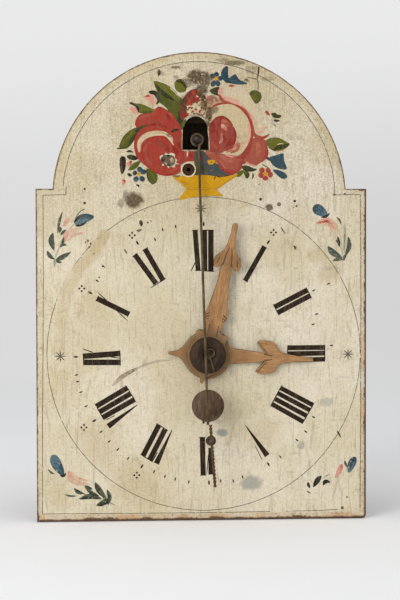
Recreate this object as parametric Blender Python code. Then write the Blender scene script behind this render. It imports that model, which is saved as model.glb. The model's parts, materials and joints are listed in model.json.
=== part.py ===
"""Black Forest shield clock with a wooden-framed verge movement and a short pendulum in front.

The front faces -Y and up is +Z. The origin is where the axis of the hands meets the wall, on the
rear face of the back board. Lengths are in metres.
"""
import math

import bmesh
import bpy
from mathutils import Matrix

MM = 0.001

# Fits
SEAT_GAP = 0.3 * MM
RUN_GAP = 0.25 * MM
WHEEL_GAP = 1.5 * MM

# Painted shield
SHIELD_WIDTH = 240 * MM
SHIELD_THICKNESS = 9 * MM
SHIELD_CENTRE_X = -3.3 * MM
SHIELD_BELOW_AXIS = 120.6 * MM
SHOULDER_ABOVE_AXIS = 120.1 * MM
ARCH_RADIUS = 106.6 * MM
ARCH_CENTRE_X = -4.8 * MM
ARCH_ABOVE_AXIS = 112.2 * MM
WINDOW_WIDTH = 19.1 * MM
WINDOW_SIDE = 13 * MM
WINDOW_ARCH = 12 * MM
WINDOW_SHIFT = -0.9 * MM
WINDOW_BELOW_VERGE = 7.8 * MM
PLUG_X = -13.1 * MM
PLUG_Z = 133.9 * MM
PLUG_RADIUS = 4.2 * MM
PLUG_BORE = 1.5 * MM

# Wooden case
BACK_THICKNESS = 6 * MM
BOARD_THICKNESS = 10 * MM
BOARD_OVERHANG = 5 * MM
BOARD_REACH = 10 * MM
DOOR_THICKNESS = 5 * MM
DOOR_CLEARANCE = 3 * MM
FLOOR_CLEARANCE = 6 * MM
HEADROOM = 13.6 * MM
PLATE_WIDTH = 50 * MM
PLATE_THICKNESS = 8 * MM
TENON_WIDTH = 30 * MM
REAR_SPACE = 16 * MM
TRAIN_DEPTH = 60 * MM
MOTION_DEPTH = 20 * MM
BATTEN_LENGTH = 112 * MM
BATTEN_DEPTH = 16 * MM
BATTEN_HEIGHT = 11 * MM
PEG_RADIUS = 2.6 * MM
PEG_SPREAD = 84 * MM
HINGE_ROD_RADIUS = 1.1 * MM
HINGE_INSET = 5 * MM
KNOB_RADIUS = 5 * MM
KNOB_LENGTH = 11 * MM
LOOP_WIDTH = 18 * MM
LOOP_SIDE = 12 * MM
LOOP_WIRE = 1.5 * MM
LOOP_FROM_BACK = 8 * MM
ROPE_HOLE_RADIUS = 5 * MM

# Going train
TRAIN_MODULE = 1.5 * MM
GREAT_TEETH = 72
CONTRATE_TEETH = 66
PINION_PINS = 6
CROWN_TEETH = 31
VERGE_X = -6.9 * MM
VERGE_Z = 155.3 * MM
WHEEL_THICKNESS = 5 * MM
PINION_DISC = 2 * MM
PINION_RIM = 2.1 * MM
SEAT_RADIUS = 5 * MM
GREAT_WAIST = 4.5 * MM
GREAT_PIVOT = 1.8 * MM
TRAIN_PIVOT = 1.5 * MM
INTERMEDIATE_ARBOR = 3.5 * MM
PINION_ARBOR = 2.2 * MM
CROWN_ARBOR = 1.7 * MM
CROWN_PIVOT = 1 * MM
BUSH_WALL = 2.2 * MM
CONTRATE_RING = 4 * MM
CONTRATE_TOOTH = 4 * MM
CONTRATE_WEB = 2.5 * MM
CROWN_RADIUS = 18 * MM
CROWN_RIM = 2 * MM
CROWN_TOOTH = 5 * MM
CROWN_HEIGHT = 11 * MM
RATCHET_TEETH = 16
RATCHET_RADIUS = 16 * MM
RATCHET_DEPTH = 2.2 * MM
RATCHET_THICKNESS = 3 * MM
PULLEY_RADIUS = 20 * MM
PULLEY_GROOVE = 15 * MM
PULLEY_WIDTH = 13 * MM
CLICK_LENGTH = 17 * MM
CLICK_WIDTH = 4 * MM
CLICK_PIN = 1.2 * MM
COCK_REACH = 30 * MM
COCK_WIDTH = 10 * MM
COCK_THICKNESS = 3 * MM
POTENCE_HEIGHT = 10 * MM
POTENCE_WIDTH = 10 * MM
POTENCE_DROP = 6 * MM

# Motion work
MOTION_DISTANCE = 30 * MM
CANNON_TEETH = 12
MINUTE_WHEEL_TEETH = 36
MINUTE_PINION_TEETH = 12
HOUR_WHEEL_TEETH = 48
MOTION_THICKNESS = 5 * MM
STUD_RADIUS = 2.5 * MM
COLLAR_RADIUS = 4.5 * MM
COLLAR_THICKNESS = 1.6 * MM
ARBOR_NOSE = 1.9 * MM
CANNON_WALL = 1.6 * MM
HOUR_PIPE_WALL = 1.8 * MM

# Hands
HAND_THICKNESS = 3.2 * MM
HAND_CLEARANCE = 1.5 * MM
HAND_SPACING = 0.8 * MM
HAND_TIP = 0.9 * MM
MINUTE_REACH = 97.4 * MM
MINUTE_HUB = 14.4 * MM
MINUTE_LOBE = 10.2 * MM
MINUTE_TAIL = 20.8 * MM
MINUTE_REST = math.radians(12.3)
HOUR_REACH = 77.4 * MM
HOUR_HUB = 17.6 * MM
HOUR_LOBE = 12.3 * MM
HOUR_TAIL = 28 * MM
HOUR_REST = math.radians(93)
BOSS_RADIUS = 13.2 * MM
BOSS_THICKNESS = 5 * MM
COTTER_X = 1.5 * MM
COTTER_Z = 1.9 * MM
COTTER_LOOP = 2.8 * MM
COTTER_LEG = 11.1 * MM
COTTER_WIRE = 0.5 * MM

# Verge and pendulum
VERGE_RADIUS = 2.2 * MM
PALLET_LENGTH = 7 * MM
PALLET_WIDTH = 5 * MM
PALLET_THICKNESS = 1.2 * MM
PALLET_SPREAD = math.radians(50)
SWING = math.radians(18)
PENDULUM_REST = math.radians(1.55)
ROD_RADIUS = 0.9 * MM
ROD_EYE = 4 * MM
ROD_CLEARANCE = 0.8 * MM
ROD_SIDE = 0.6 * MM
ROD_TIP = 2.1 * MM
VERGE_KNOB_RADIUS = 4.8 * MM
VERGE_KNOB_LENGTH = 5 * MM
VERGE_KNOB_INSET = 1 * MM
BOB_SIDE = 1.1 * MM
BOB_DROP = 191.4 * MM
BOB_RADIUS = 11.5 * MM
BOB_THICKNESS = 9 * MM
BOB_EDGE = 4 * MM
WEDGE_RADIUS = 0.8 * MM
WEDGE_LENGTH = 7 * MM
WEDGE_WALL = 0.6 * MM
WEDGE_HEAD = 1 * MM
TAIL_SIDE = 1.8 * MM
TAIL_LENGTH = 44.1 * MM
TAIL_RADIUS = 1.25 * MM
TAIL_LEAN = math.radians(2.4)
TAIL_TWIST = math.radians(800)
TAIL_STEPS = 20
BEAD_RADIUS = 3.6 * MM
BEAD_THICKNESS = 5.6 * MM
BEAD_SIDE = -0.5 * MM
BEAD_DROP = 11 * MM

# Depths from the wall towards the front
BACK_FRONT = -BACK_THICKNESS
REAR_PLATE_BACK = BACK_FRONT - REAR_SPACE
REAR_PLATE_FRONT = REAR_PLATE_BACK - PLATE_THICKNESS
FRONT_PLATE_BACK = REAR_PLATE_FRONT - TRAIN_DEPTH
FRONT_PLATE_FRONT = FRONT_PLATE_BACK - PLATE_THICKNESS
SHIELD_BACK = FRONT_PLATE_FRONT - MOTION_DEPTH
SHIELD_FRONT = SHIELD_BACK - SHIELD_THICKNESS
HOUR_HAND_BACK = SHIELD_FRONT - HAND_CLEARANCE
HOUR_HAND_FRONT = HOUR_HAND_BACK - HAND_THICKNESS
MINUTE_HAND_BACK = HOUR_HAND_FRONT - HAND_SPACING
MINUTE_HAND_FRONT = MINUTE_HAND_BACK - HAND_THICKNESS
BOSS_BACK = MINUTE_HAND_FRONT - SEAT_GAP
BOSS_FRONT = BOSS_BACK - BOSS_THICKNESS
COTTER_Y = BOSS_FRONT - SEAT_GAP - COTTER_WIRE
COTTER_FRONT = COTTER_Y - 2 * COTTER_WIRE
BOARD_FRONT = FRONT_PLATE_FRONT - BOARD_REACH

# Places along the train
GREAT_RADIUS = TRAIN_MODULE * GREAT_TEETH / 2
PINION_RADIUS = TRAIN_MODULE * PINION_PINS / 2
CONTRATE_RADIUS = TRAIN_MODULE * CONTRATE_TEETH / 2
INTERMEDIATE_Z = math.sqrt((GREAT_RADIUS + PINION_RADIUS) ** 2 - VERGE_X ** 2)
CROWN_PINION_Z = INTERMEDIATE_Z + CONTRATE_RADIUS
CROWN_Y = (REAR_PLATE_FRONT + FRONT_PLATE_BACK) / 2
GREAT_FRONT = FRONT_PLATE_BACK + PINION_DISC + 2 * WHEEL_GAP
GREAT_BACK = GREAT_FRONT + WHEEL_THICKNESS
RATCHET_FRONT = GREAT_BACK + SEAT_GAP
PULLEY_FRONT = RATCHET_FRONT + RATCHET_THICKNESS + SEAT_GAP
PULLEY_BACK = PULLEY_FRONT + PULLEY_WIDTH
CONTRATE_ROOT_Y = CROWN_Y + PINION_RADIUS + CONTRATE_TOOTH / 2
PALLET_REACH = (PALLET_LENGTH * math.cos(PALLET_SPREAD - SWING)
                + PALLET_THICKNESS / 2 * math.sin(PALLET_SPREAD - SWING))
CROWN_TIP_Z = VERGE_Z - PALLET_REACH - SEAT_GAP
CROWN_BASE_Z = CROWN_TIP_Z - CROWN_HEIGHT
CANNON_MODULE = 2 * MOTION_DISTANCE / (CANNON_TEETH + MINUTE_WHEEL_TEETH)
HOUR_MODULE = 2 * MOTION_DISTANCE / (MINUTE_PINION_TEETH + HOUR_WHEEL_TEETH)
CANNON_BACK = FRONT_PLATE_FRONT - WHEEL_GAP
CANNON_FRONT = CANNON_BACK - MOTION_THICKNESS
HOUR_WHEEL_BACK = CANNON_FRONT - WHEEL_GAP
HOUR_WHEEL_FRONT = HOUR_WHEEL_BACK - MOTION_THICKNESS
CANNON_BORE = ARBOR_NOSE + RUN_GAP
CANNON_PIPE = CANNON_BORE + CANNON_WALL
HOUR_BORE = CANNON_PIPE + RUN_GAP
HOUR_PIPE = HOUR_BORE + HOUR_PIPE_WALL

# Places in the case
CASE_CENTRE_X = SHIELD_CENTRE_X
GREAT_TIP = GREAT_RADIUS + TRAIN_MODULE
CONTRATE_TIP = CONTRATE_RADIUS + CONTRATE_RING / 2
CASE_HALF = DOOR_CLEARANCE + max(GREAT_TIP + abs(CASE_CENTRE_X),
                                 CONTRATE_TIP + abs(VERGE_X - CASE_CENTRE_X))
DOOR_X = CASE_HALF + DOOR_THICKNESS / 2
BOARD_HALF = CASE_HALF + DOOR_THICKNESS + BOARD_OVERHANG
FLOOR_Z = -GREAT_TIP - FLOOR_CLEARANCE
CEILING_Z = VERGE_Z + HEADROOM
HINGE_Y = BACK_FRONT - SEAT_GAP - HINGE_INSET
BATTEN_Y = SHIELD_BACK + SEAT_GAP + BATTEN_DEPTH / 2
PEG_Y = (BOARD_FRONT + SHIELD_BACK + SEAT_GAP + BATTEN_DEPTH) / 2
LOOP_Y = BACK_FRONT - LOOP_FROM_BACK

# Pendulum places, measured down from the verge
EYE_Y = SHIELD_FRONT - ROD_CLEARANCE - ROD_RADIUS
ROD_AT_HAND = MINUTE_HAND_FRONT - ROD_CLEARANCE - ROD_RADIUS
ROD_AT_NOSE = COTTER_FRONT - ROD_CLEARANCE - ROD_RADIUS
AXIS_DROP = math.hypot(VERGE_X, VERGE_Z)
HAND_DROP = AXIS_DROP - MINUTE_REACH
NOSE_DROP = AXIS_DROP - ARBOR_NOSE
ROD_LEAN = math.atan2(ROD_AT_HAND - ROD_AT_NOSE, NOSE_DROP - HAND_DROP)
LEAN_Y = ROD_AT_HAND + HAND_DROP * math.tan(ROD_LEAN)
ROD_END = BOB_DROP + BOB_RADIUS + ROD_TIP
TAIL_TOP = ROD_END + SEAT_GAP

# Tooth shapes in modules: above the pitch circle, below it, half width at the root, half at the tip
LANTERN_TOOTH = (0.93, 1.07, 0.63, 0.2)
SPUR_TOOTH = (0.85, 1.15, 0.94, 0.28)
PIN_SHARE = 0.66
CONTRATE_PIN_SHARE = 0.5


def clear_scene():
    """Empty the scene of the objects that it starts with."""
    for obj in list(bpy.data.objects):
        bpy.data.objects.remove(obj)


def make_material(name, colour, roughness, metallic=0.0):
    """A plain Principled material."""
    material = bpy.data.materials.new(name)
    material.use_nodes = True
    shader = material.node_tree.nodes["Principled BSDF"]
    shader.inputs["Base Color"].default_value = (*colour, 1)
    shader.inputs["Roughness"].default_value = roughness
    shader.inputs["Metallic"].default_value = metallic
    return material


def add_object(name, data, look, place=(0, 0, 0)):
    """Link new data under its name, with its own copy of a look."""
    obj = bpy.data.objects.new(name, data)
    bpy.context.collection.objects.link(obj)
    material = look.copy()
    material.name = name + "_look"
    data.materials.append(material)
    obj.location = place
    return obj


def mesh_object(name, bm, look, place=(0, 0, 0)):
    """Turn a bmesh into a named object."""
    bmesh.ops.remove_doubles(bm, verts=bm.verts, dist=1e-7)
    bmesh.ops.recalc_face_normals(bm, faces=bm.faces)
    mesh = bpy.data.meshes.new(name)
    bm.to_mesh(mesh)
    bm.free()
    return add_object(name, mesh, look, place)


def arc(radius, start, end, steps, centre=(0, 0)):
    """Points along an arc, both ends included, angles in radians from the first axis."""
    return [(centre[0] + radius * math.cos(start + (end - start) * k / steps),
             centre[1] + radius * math.sin(start + (end - start) * k / steps)) for k in range(steps + 1)]


def circle(radius, sides=16, centre=(0, 0)):
    """A closed ring of points."""
    return arc(radius, 0, 2 * math.pi, sides, centre)[:-1]


def rectangle(low_u, high_u, low_v, high_v):
    """The four corners of a rectangle."""
    return [(low_u, low_v), (high_u, low_v), (high_u, high_v), (low_u, high_v)]


def turn_points(points, angle):
    """Turn points clockwise as seen from the front."""
    c, s = math.cos(angle), math.sin(angle)
    return [(u * c + v * s, v * c - u * s) for u, v in points]


def extruded(name, loops, low, high, look, place=(0, 0), along="Y"):
    """A flat shape with holes, given thickness along Y (points are x, z) or Z (points are x, y)."""
    curve = bpy.data.curves.new(name, "CURVE")
    curve.dimensions = "2D"
    curve.fill_mode = "BOTH"
    curve.extrude = (high - low) / 2
    for loop in loops:
        spline = curve.splines.new("POLY")
        spline.points.add(len(loop) - 1)
        for point, (u, v) in zip(spline.points, loop):
            point.co = (u, v, 0, 1)
        spline.use_cyclic_u = True
    middle = (low + high) / 2
    if along == "Z":
        return add_object(name, curve, look, (place[0], place[1], middle))
    obj = add_object(name, curve, look, (place[0], middle, place[1]))
    obj.rotation_euler = (math.pi / 2, 0, 0)
    return obj


def turned_mesh(profile, sides, along, closed):
    """Spin a profile of (place along the axis, radius) about X, Y or Z."""
    bm = bmesh.new()
    verts = [bm.verts.new((radius, 0, place)) for place, radius in profile]
    pairs = list(zip(verts, verts[1:]))
    if closed:
        pairs.append((verts[-1], verts[0]))
    edges = [bm.edges.new(pair) for pair in pairs]
    bmesh.ops.spin(bm, geom=verts + edges, cent=(0, 0, 0), axis=(0, 0, 1),
                   angle=2 * math.pi, steps=sides, use_merge=True)
    bmesh.ops.remove_doubles(bm, verts=bm.verts, dist=1e-7)
    turns = {"X": Matrix.Rotation(math.pi / 2, 4, "Y"), "Y": Matrix.Rotation(-math.pi / 2, 4, "X"),
             "Z": Matrix.Identity(4)}
    bmesh.ops.transform(bm, matrix=turns[along], verts=bm.verts)
    return bm


def turned(name, steps, look, place=(0, 0, 0), along="Y", sides=16):
    """A solid turned piece, given as (start, end, radius) steps along its axis."""
    profile = [(steps[0][0], 0)]
    for start, end, radius in steps:
        profile += [(start, radius), (end, radius)]
    profile.append((steps[-1][1], 0))
    return mesh_object(name, turned_mesh(profile, sides, along, False), look, place)


def ring(name, low, high, inner, outer, look, place=(0, 0, 0), along="Y", sides=16):
    """A plain ring or sleeve."""
    profile = [(low, inner), (high, inner), (high, outer), (low, outer)]
    return mesh_object(name, turned_mesh(profile, sides, along, True), look, place)


def wire(name, points, radius, look, place=(0, 0, 0), sides=8):
    """A round wire along points."""
    curve = bpy.data.curves.new(name, "CURVE")
    curve.dimensions = "3D"
    curve.bevel_depth = radius
    curve.bevel_resolution = sides // 2 - 2
    curve.use_fill_caps = True
    spline = curve.splines.new("POLY")
    spline.points.add(len(points) - 1)
    for point, co in zip(spline.points, points):
        point.co = (*co, 1)
    return add_object(name, curve, look, place)


def combine(obj, other, operation):
    """Cut a helper out of a piece, or join it on, and hide the helper."""
    modifier = obj.modifiers.new(operation.lower(), "BOOLEAN")
    modifier.operation = operation
    modifier.solver = "EXACT"
    modifier.object = other
    other.hide_render = True
    other.display_type = "WIRE"


def gear_outline(teeth, module, tooth, tooth_angle):
    """Outline of a wheel with straight-sided teeth, one of them centred on tooth_angle."""
    above, below, half_root, half_tip = (share * module for share in tooth)
    pitch = module * teeth / 2
    corners = [(pitch - below, -half_root), (pitch + above, -half_tip),
               (pitch + above, half_tip), (pitch - below, half_root)]
    points = []
    for k in range(teeth):
        centre = tooth_angle + 2 * math.pi * k / teeth
        points += [(radius * math.cos(centre + side / radius), radius * math.sin(centre + side / radius))
                   for radius, side in corners]
    return points


def windows(count, inner, outer, spoke, first):
    """Openings between the spokes of a wheel."""
    loops = []
    for k in range(count):
        start, end = first + 2 * math.pi * k / count, first + 2 * math.pi * (k + 1) / count
        wide, narrow = math.asin(spoke / 2 / outer), math.asin(spoke / 2 / inner)
        loops.append(arc(outer, start + wide, end - wide, 5) + arc(inner, end - narrow, start + narrow, 3))
    return loops


def lantern_pinion(name, low, high, pin_radius, pin_angle, bore, look, place, along):
    """Two discs joined by a ring of pins, the gap between the discs running from low to high."""
    outer = PINION_RADIUS + PINION_RIM
    pinion = ring(name, low - PINION_DISC, low, bore, outer, look, place, along, 18)
    disc = ring(name + "_disc", high, high + PINION_DISC, bore, outer, look, place, along, 18)
    bm = bmesh.new()
    for k in range(PINION_PINS):
        angle = pin_angle + 2 * math.pi * k / PINION_PINS
        middle = (low + high) / 2
        u, v = PINION_RADIUS * math.cos(angle), PINION_RADIUS * math.sin(angle)
        shift = Matrix.Translation((u, middle, v) if along == "Y" else (u, v, middle))
        if along == "Y":
            shift = shift @ Matrix.Rotation(math.pi / 2, 4, "X")
        bmesh.ops.create_cone(bm, cap_ends=True, segments=8, radius1=pin_radius, radius2=pin_radius,
                              depth=high - low + PINION_DISC, matrix=shift)
    pins = mesh_object(name + "_pins", bm, look, place)
    combine(pinion, pins, "UNION")
    combine(pinion, disc, "UNION")
    return pinion


def toothed_ring(name, loops, bore, axis, look, place):
    """Join closed loops of equal length into a rim, with a flat web round a bore at each end."""
    bm = bmesh.new()
    rows = []
    for loop in [*loops, *bore]:
        verts = [bm.verts.new(point) for point in loop]
        rows.append([bm.edges.new((a, b)) for a, b in zip(verts, verts[1:] + verts[:1])])
    rim, (first_bore, last_bore) = rows[:-2], rows[-2:]
    for one, two in [*zip(rim, rim[1:]), (first_bore, last_bore)]:
        bmesh.ops.bridge_loops(bm, edges=one + two)
    for edges in (rim[0] + first_bore, rim[-1] + last_bore):
        bmesh.ops.triangle_fill(bm, edges=edges, use_beauty=True, use_dissolve=False, normal=axis)
    return mesh_object(name, bm, look, place)


def shield_outline():
    """Arched board with a small shoulder on each side."""
    left, right = SHIELD_CENTRE_X - SHIELD_WIDTH / 2, SHIELD_CENTRE_X + SHIELD_WIDTH / 2
    start = math.asin((SHOULDER_ABOVE_AXIS - ARCH_ABOVE_AXIS) / ARCH_RADIUS)
    top = arc(ARCH_RADIUS, start, math.pi - start, 48, (ARCH_CENTRE_X, ARCH_ABOVE_AXIS))
    return [(left, -SHIELD_BELOW_AXIS), (right, -SHIELD_BELOW_AXIS), (right, SHOULDER_ABOVE_AXIS),
            *top, (left, SHOULDER_ABOVE_AXIS)]


def window_outline():
    """Arched opening in front of the verge."""
    centre = VERGE_X + WINDOW_SHIFT
    sill = VERGE_Z - WINDOW_BELOW_VERGE
    spring = sill + WINDOW_SIDE
    crown = [(centre + u * WINDOW_WIDTH / 2, spring + v * WINDOW_ARCH) for u, v in arc(1, 0, math.pi, 12)]
    return [(centre - WINDOW_WIDTH / 2, sill), (centre + WINDOW_WIDTH / 2, sill), *crown]


def build_shield(wood, dark):
    """The painted board, its plug and the two battens that hang it on the case."""
    extruded("shield_board",
             [shield_outline(), window_outline(), circle(HOUR_PIPE + 2 * RUN_GAP, 20),
              circle(PLUG_RADIUS + SEAT_GAP, 16, (PLUG_X, PLUG_Z))],
             SHIELD_FRONT, SHIELD_BACK, wood)
    ring("shield_plug", SHIELD_FRONT, SHIELD_BACK, PLUG_BORE, PLUG_RADIUS, dark, (PLUG_X, 0, PLUG_Z))
    board_top = CEILING_Z + BOARD_THICKNESS
    board_low = FLOOR_Z - BOARD_THICKNESS
    levels = {"upper": board_top + SEAT_GAP, "lower": board_low - SEAT_GAP - BATTEN_HEIGHT}
    pegs = {"upper": (CEILING_Z + SEAT_GAP, board_top + SEAT_GAP + BATTEN_HEIGHT),
            "lower": (board_low - SEAT_GAP - BATTEN_HEIGHT, FLOOR_Z - SEAT_GAP)}
    for level, low in levels.items():
        holes = [circle(PEG_RADIUS + RUN_GAP, 14, (side * PEG_SPREAD / 2, PEG_Y - BATTEN_Y))
                 for side in (-1, 1)]
        bar = rectangle(-BATTEN_LENGTH / 2, BATTEN_LENGTH / 2, -BATTEN_DEPTH / 2, BATTEN_DEPTH / 2)
        extruded("shield_batten_" + level, [bar, *holes], low, low + BATTEN_HEIGHT, wood,
                 (CASE_CENTRE_X, BATTEN_Y), "Z")
        for side, hand in ((-1, "left"), (1, "right")):
            turned("shield_peg_{}_{}".format(level, hand), [(*pegs[level], PEG_RADIUS)], dark,
                   (CASE_CENTRE_X + side * PEG_SPREAD / 2, PEG_Y, 0), "Z", 14)


def build_boards(wood, iron):
    """Back board, top board, bottom board and the hanging loop."""
    extruded("back_board",
             [rectangle(-BOARD_HALF, BOARD_HALF, FLOOR_Z - BOARD_THICKNESS, CEILING_Z + BOARD_THICKNESS)],
             BACK_FRONT, 0, wood, (CASE_CENTRE_X, 0))
    outline = rectangle(-BOARD_HALF, BOARD_HALF, BOARD_FRONT, BACK_FRONT - SEAT_GAP)
    half = TENON_WIDTH / 2 + SEAT_GAP
    holes = [rectangle(-half, half, REAR_PLATE_FRONT - SEAT_GAP, REAR_PLATE_BACK + SEAT_GAP),
             rectangle(-half, half, FRONT_PLATE_FRONT - SEAT_GAP, FRONT_PLATE_BACK + SEAT_GAP)]
    for side in (-1, 1):
        holes.append(circle(HINGE_ROD_RADIUS + RUN_GAP, 12, (side * DOOR_X, HINGE_Y)))
        holes.append(circle(PEG_RADIUS + RUN_GAP, 14, (side * PEG_SPREAD / 2, PEG_Y)))
    loop_holes = [circle(LOOP_WIRE + RUN_GAP, 12, (side * LOOP_WIDTH / 2, LOOP_Y)) for side in (-1, 1)]
    rope_y = (PULLEY_FRONT + PULLEY_BACK) / 2
    rope_holes = [circle(ROPE_HOLE_RADIUS, 16, (side * PULLEY_GROOVE - CASE_CENTRE_X, rope_y))
                  for side in (-1, 1)]
    extruded("top_board", [outline, *holes, *loop_holes], CEILING_Z, CEILING_Z + BOARD_THICKNESS, wood,
             (CASE_CENTRE_X, 0), "Z")
    extruded("bottom_board", [outline, *holes, *rope_holes], FLOOR_Z - BOARD_THICKNESS, FLOOR_Z, wood,
             (CASE_CENTRE_X, 0), "Z")
    low = CEILING_Z + SEAT_GAP
    spring = CEILING_Z + BOARD_THICKNESS + LOOP_SIDE
    bow = [(u, 0, v) for u, v in arc(LOOP_WIDTH / 2, math.pi, 0, 12, (0, spring))]
    wire("hanging_loop", [(-LOOP_WIDTH / 2, 0, low), *bow, (LOOP_WIDTH / 2, 0, low)], LOOP_WIRE, iron,
         (CASE_CENTRE_X, LOOP_Y, 0), 10)


def build_plates(wood, brass, iron):
    """The two upright plates of the movement, their bushes, and what is fixed to them."""
    half, tenon = PLATE_WIDTH / 2, TENON_WIDTH / 2
    low, high = FLOOR_Z + SEAT_GAP, CEILING_Z - SEAT_GAP
    end = BOARD_THICKNESS
    outline = [(-tenon, low - end), (tenon, low - end), (tenon, low), (half, low), (half, high),
               (tenon, high), (tenon, high + end), (-tenon, high + end), (-tenon, high), (-half, high),
               (-half, low), (-tenon, low)]
    outline = [(u + CASE_CENTRE_X, v) for u, v in outline]
    seats = {"great": (0, 0), "intermediate": (VERGE_X, INTERMEDIATE_Z), "verge": (VERGE_X, VERGE_Z)}
    pivots = {"rear": {"great": GREAT_PIVOT, "intermediate": TRAIN_PIVOT, "verge": TRAIN_PIVOT},
              "front": {"great": ARBOR_NOSE, "intermediate": TRAIN_PIVOT, "verge": VERGE_RADIUS}}
    faces = {"rear": (REAR_PLATE_FRONT, REAR_PLATE_BACK), "front": (FRONT_PLATE_FRONT, FRONT_PLATE_BACK)}
    for side, (front, back) in faces.items():
        holes = []
        for seat, (x, z) in seats.items():
            bore = pivots[side][seat] + RUN_GAP
            holes.append(circle(bore + BUSH_WALL + SEAT_GAP, 16, (x, z)))
            ring("{}_bush_{}".format(seat, side), front, back, bore, bore + BUSH_WALL, brass, (x, 0, z))
        if side == "front":
            holes.append(circle(STUD_RADIUS + RUN_GAP, 14, (0, -MOTION_DISTANCE)))
        extruded(side + "_plate", [outline, *holes], front, back, wood)
    stud_front = HOUR_WHEEL_FRONT - SEAT_GAP - COLLAR_THICKNESS
    turned("minute_stud", [(stud_front, FRONT_PLATE_BACK, STUD_RADIUS)], iron, (0, 0, -MOTION_DISTANCE))
    ring("minute_stud_collar", stud_front, stud_front + COLLAR_THICKNESS, STUD_RADIUS + RUN_GAP,
         COLLAR_RADIUS, brass, (0, 0, -MOTION_DISTANCE))


def build_crown_bearings(wood, brass):
    """Potence under the crown arbor, and the cock and post above it."""
    bore = circle(CROWN_PIVOT + RUN_GAP, 12)
    half = POTENCE_WIDTH / 2
    arm = [(half, FRONT_PLATE_BACK + SEAT_GAP - CROWN_Y), *arc(half, 0, math.pi, 8),
           (-half, FRONT_PLATE_BACK + SEAT_GAP - CROWN_Y)]
    top = potence_top()
    extruded("potence", [arm, bore], top - POTENCE_HEIGHT, top, wood, (VERGE_X, CROWN_Y), "Z")
    half = COCK_WIDTH / 2
    strap = [(-COCK_REACH - half, -half), *arc(half, -math.pi / 2, math.pi / 2, 8),
             (-COCK_REACH - half, half)]
    low = CROWN_TIP_Z + SEAT_GAP
    extruded("crown_cock", [strap, bore], low, low + COCK_THICKNESS, brass, (VERGE_X, CROWN_Y), "Z")
    post = rectangle(-COCK_REACH - half, -COCK_REACH + half, -half, half)
    extruded("crown_cock_post", [post], low + COCK_THICKNESS + SEAT_GAP, CEILING_Z - SEAT_GAP, wood,
             (VERGE_X, CROWN_Y), "Z")


def potence_top():
    """Height of the shoulder that the crown arbor stands on."""
    return CROWN_PINION_Z - CONTRATE_RING / 2 - WHEEL_GAP - PINION_DISC - POTENCE_DROP


def build_great_wheel(wood, brass, iron):
    """Great arbor with its wheel, and the rope pulley, ratchet and click that it carries."""
    turned("great_arbor",
           [(BOSS_FRONT, FRONT_PLATE_BACK + SEAT_GAP, ARBOR_NOSE),
            (FRONT_PLATE_BACK + SEAT_GAP, PULLEY_BACK + SEAT_GAP, SEAT_RADIUS),
            (PULLEY_BACK + SEAT_GAP, REAR_PLATE_FRONT - SEAT_GAP, GREAT_WAIST),
            (REAR_PLATE_FRONT - SEAT_GAP, REAR_PLATE_BACK + SEAT_GAP, GREAT_PIVOT)], iron, sides=18)
    mesh_angle = math.atan2(INTERMEDIATE_Z, VERGE_X)
    outline = gear_outline(GREAT_TEETH, TRAIN_MODULE, LANTERN_TOOTH, mesh_angle + math.pi / GREAT_TEETH)
    pivot = click_pivot()
    inner = math.hypot(*pivot) + CLICK_WIDTH
    outer = GREAT_RADIUS - 5 * TRAIN_MODULE
    extruded("great_wheel",
             [outline, circle(SEAT_RADIUS + RUN_GAP, 18), circle(CLICK_PIN + RUN_GAP, 10, pivot),
              *windows(4, inner, outer, 2 * CLICK_WIDTH, math.pi / 4)],
             GREAT_FRONT, GREAT_BACK, brass)
    turned("click_pin", [(GREAT_FRONT, RATCHET_FRONT + RATCHET_THICKNESS, CLICK_PIN)], iron,
           (pivot[0], 0, pivot[1]), sides=10)
    half = CLICK_WIDTH / 2
    body = [*arc(half, -math.pi / 2, math.pi / 2, 6), (-CLICK_LENGTH, half / 3), (-CLICK_LENGTH, -half / 3)]
    body = turn_points(body, -math.atan2(pivot[1] - click_tip(), pivot[0]))
    extruded("click", [body, circle(CLICK_PIN + RUN_GAP, 10)], RATCHET_FRONT,
             RATCHET_FRONT + RATCHET_THICKNESS, iron, pivot)
    ratchet = []
    for k in range(RATCHET_TEETH):
        angle = math.pi / 2 + 2 * math.pi * k / RATCHET_TEETH
        ratchet += [(radius * math.cos(angle), radius * math.sin(angle))
                    for radius in (RATCHET_RADIUS - RATCHET_DEPTH, RATCHET_RADIUS)]
    extruded("ratchet_wheel", [ratchet, circle(SEAT_RADIUS + RUN_GAP, 18)], RATCHET_FRONT,
             RATCHET_FRONT + RATCHET_THICKNESS, brass)
    lip = PULLEY_WIDTH * 0.15
    bore = SEAT_RADIUS + RUN_GAP
    profile = [(PULLEY_FRONT, bore), (PULLEY_BACK, bore), (PULLEY_BACK, PULLEY_RADIUS),
               (PULLEY_BACK - lip, PULLEY_RADIUS), (PULLEY_BACK - 2.5 * lip, PULLEY_GROOVE),
               (PULLEY_FRONT + 2.5 * lip, PULLEY_GROOVE), (PULLEY_FRONT + lip, PULLEY_RADIUS),
               (PULLEY_FRONT, PULLEY_RADIUS)]
    mesh_object("rope_pulley", turned_mesh(profile, 24, "Y", True), wood)


def click_tip():
    """Height of the lifted tip of the click above the great arbor."""
    return RATCHET_RADIUS + SEAT_GAP + CLICK_WIDTH / 6


def click_pivot():
    """Place of the click's pin, one click length along from its tip."""
    rise = CLICK_LENGTH * math.sin(math.radians(12))
    return CLICK_LENGTH * math.cos(math.radians(12)), click_tip() + rise


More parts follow.
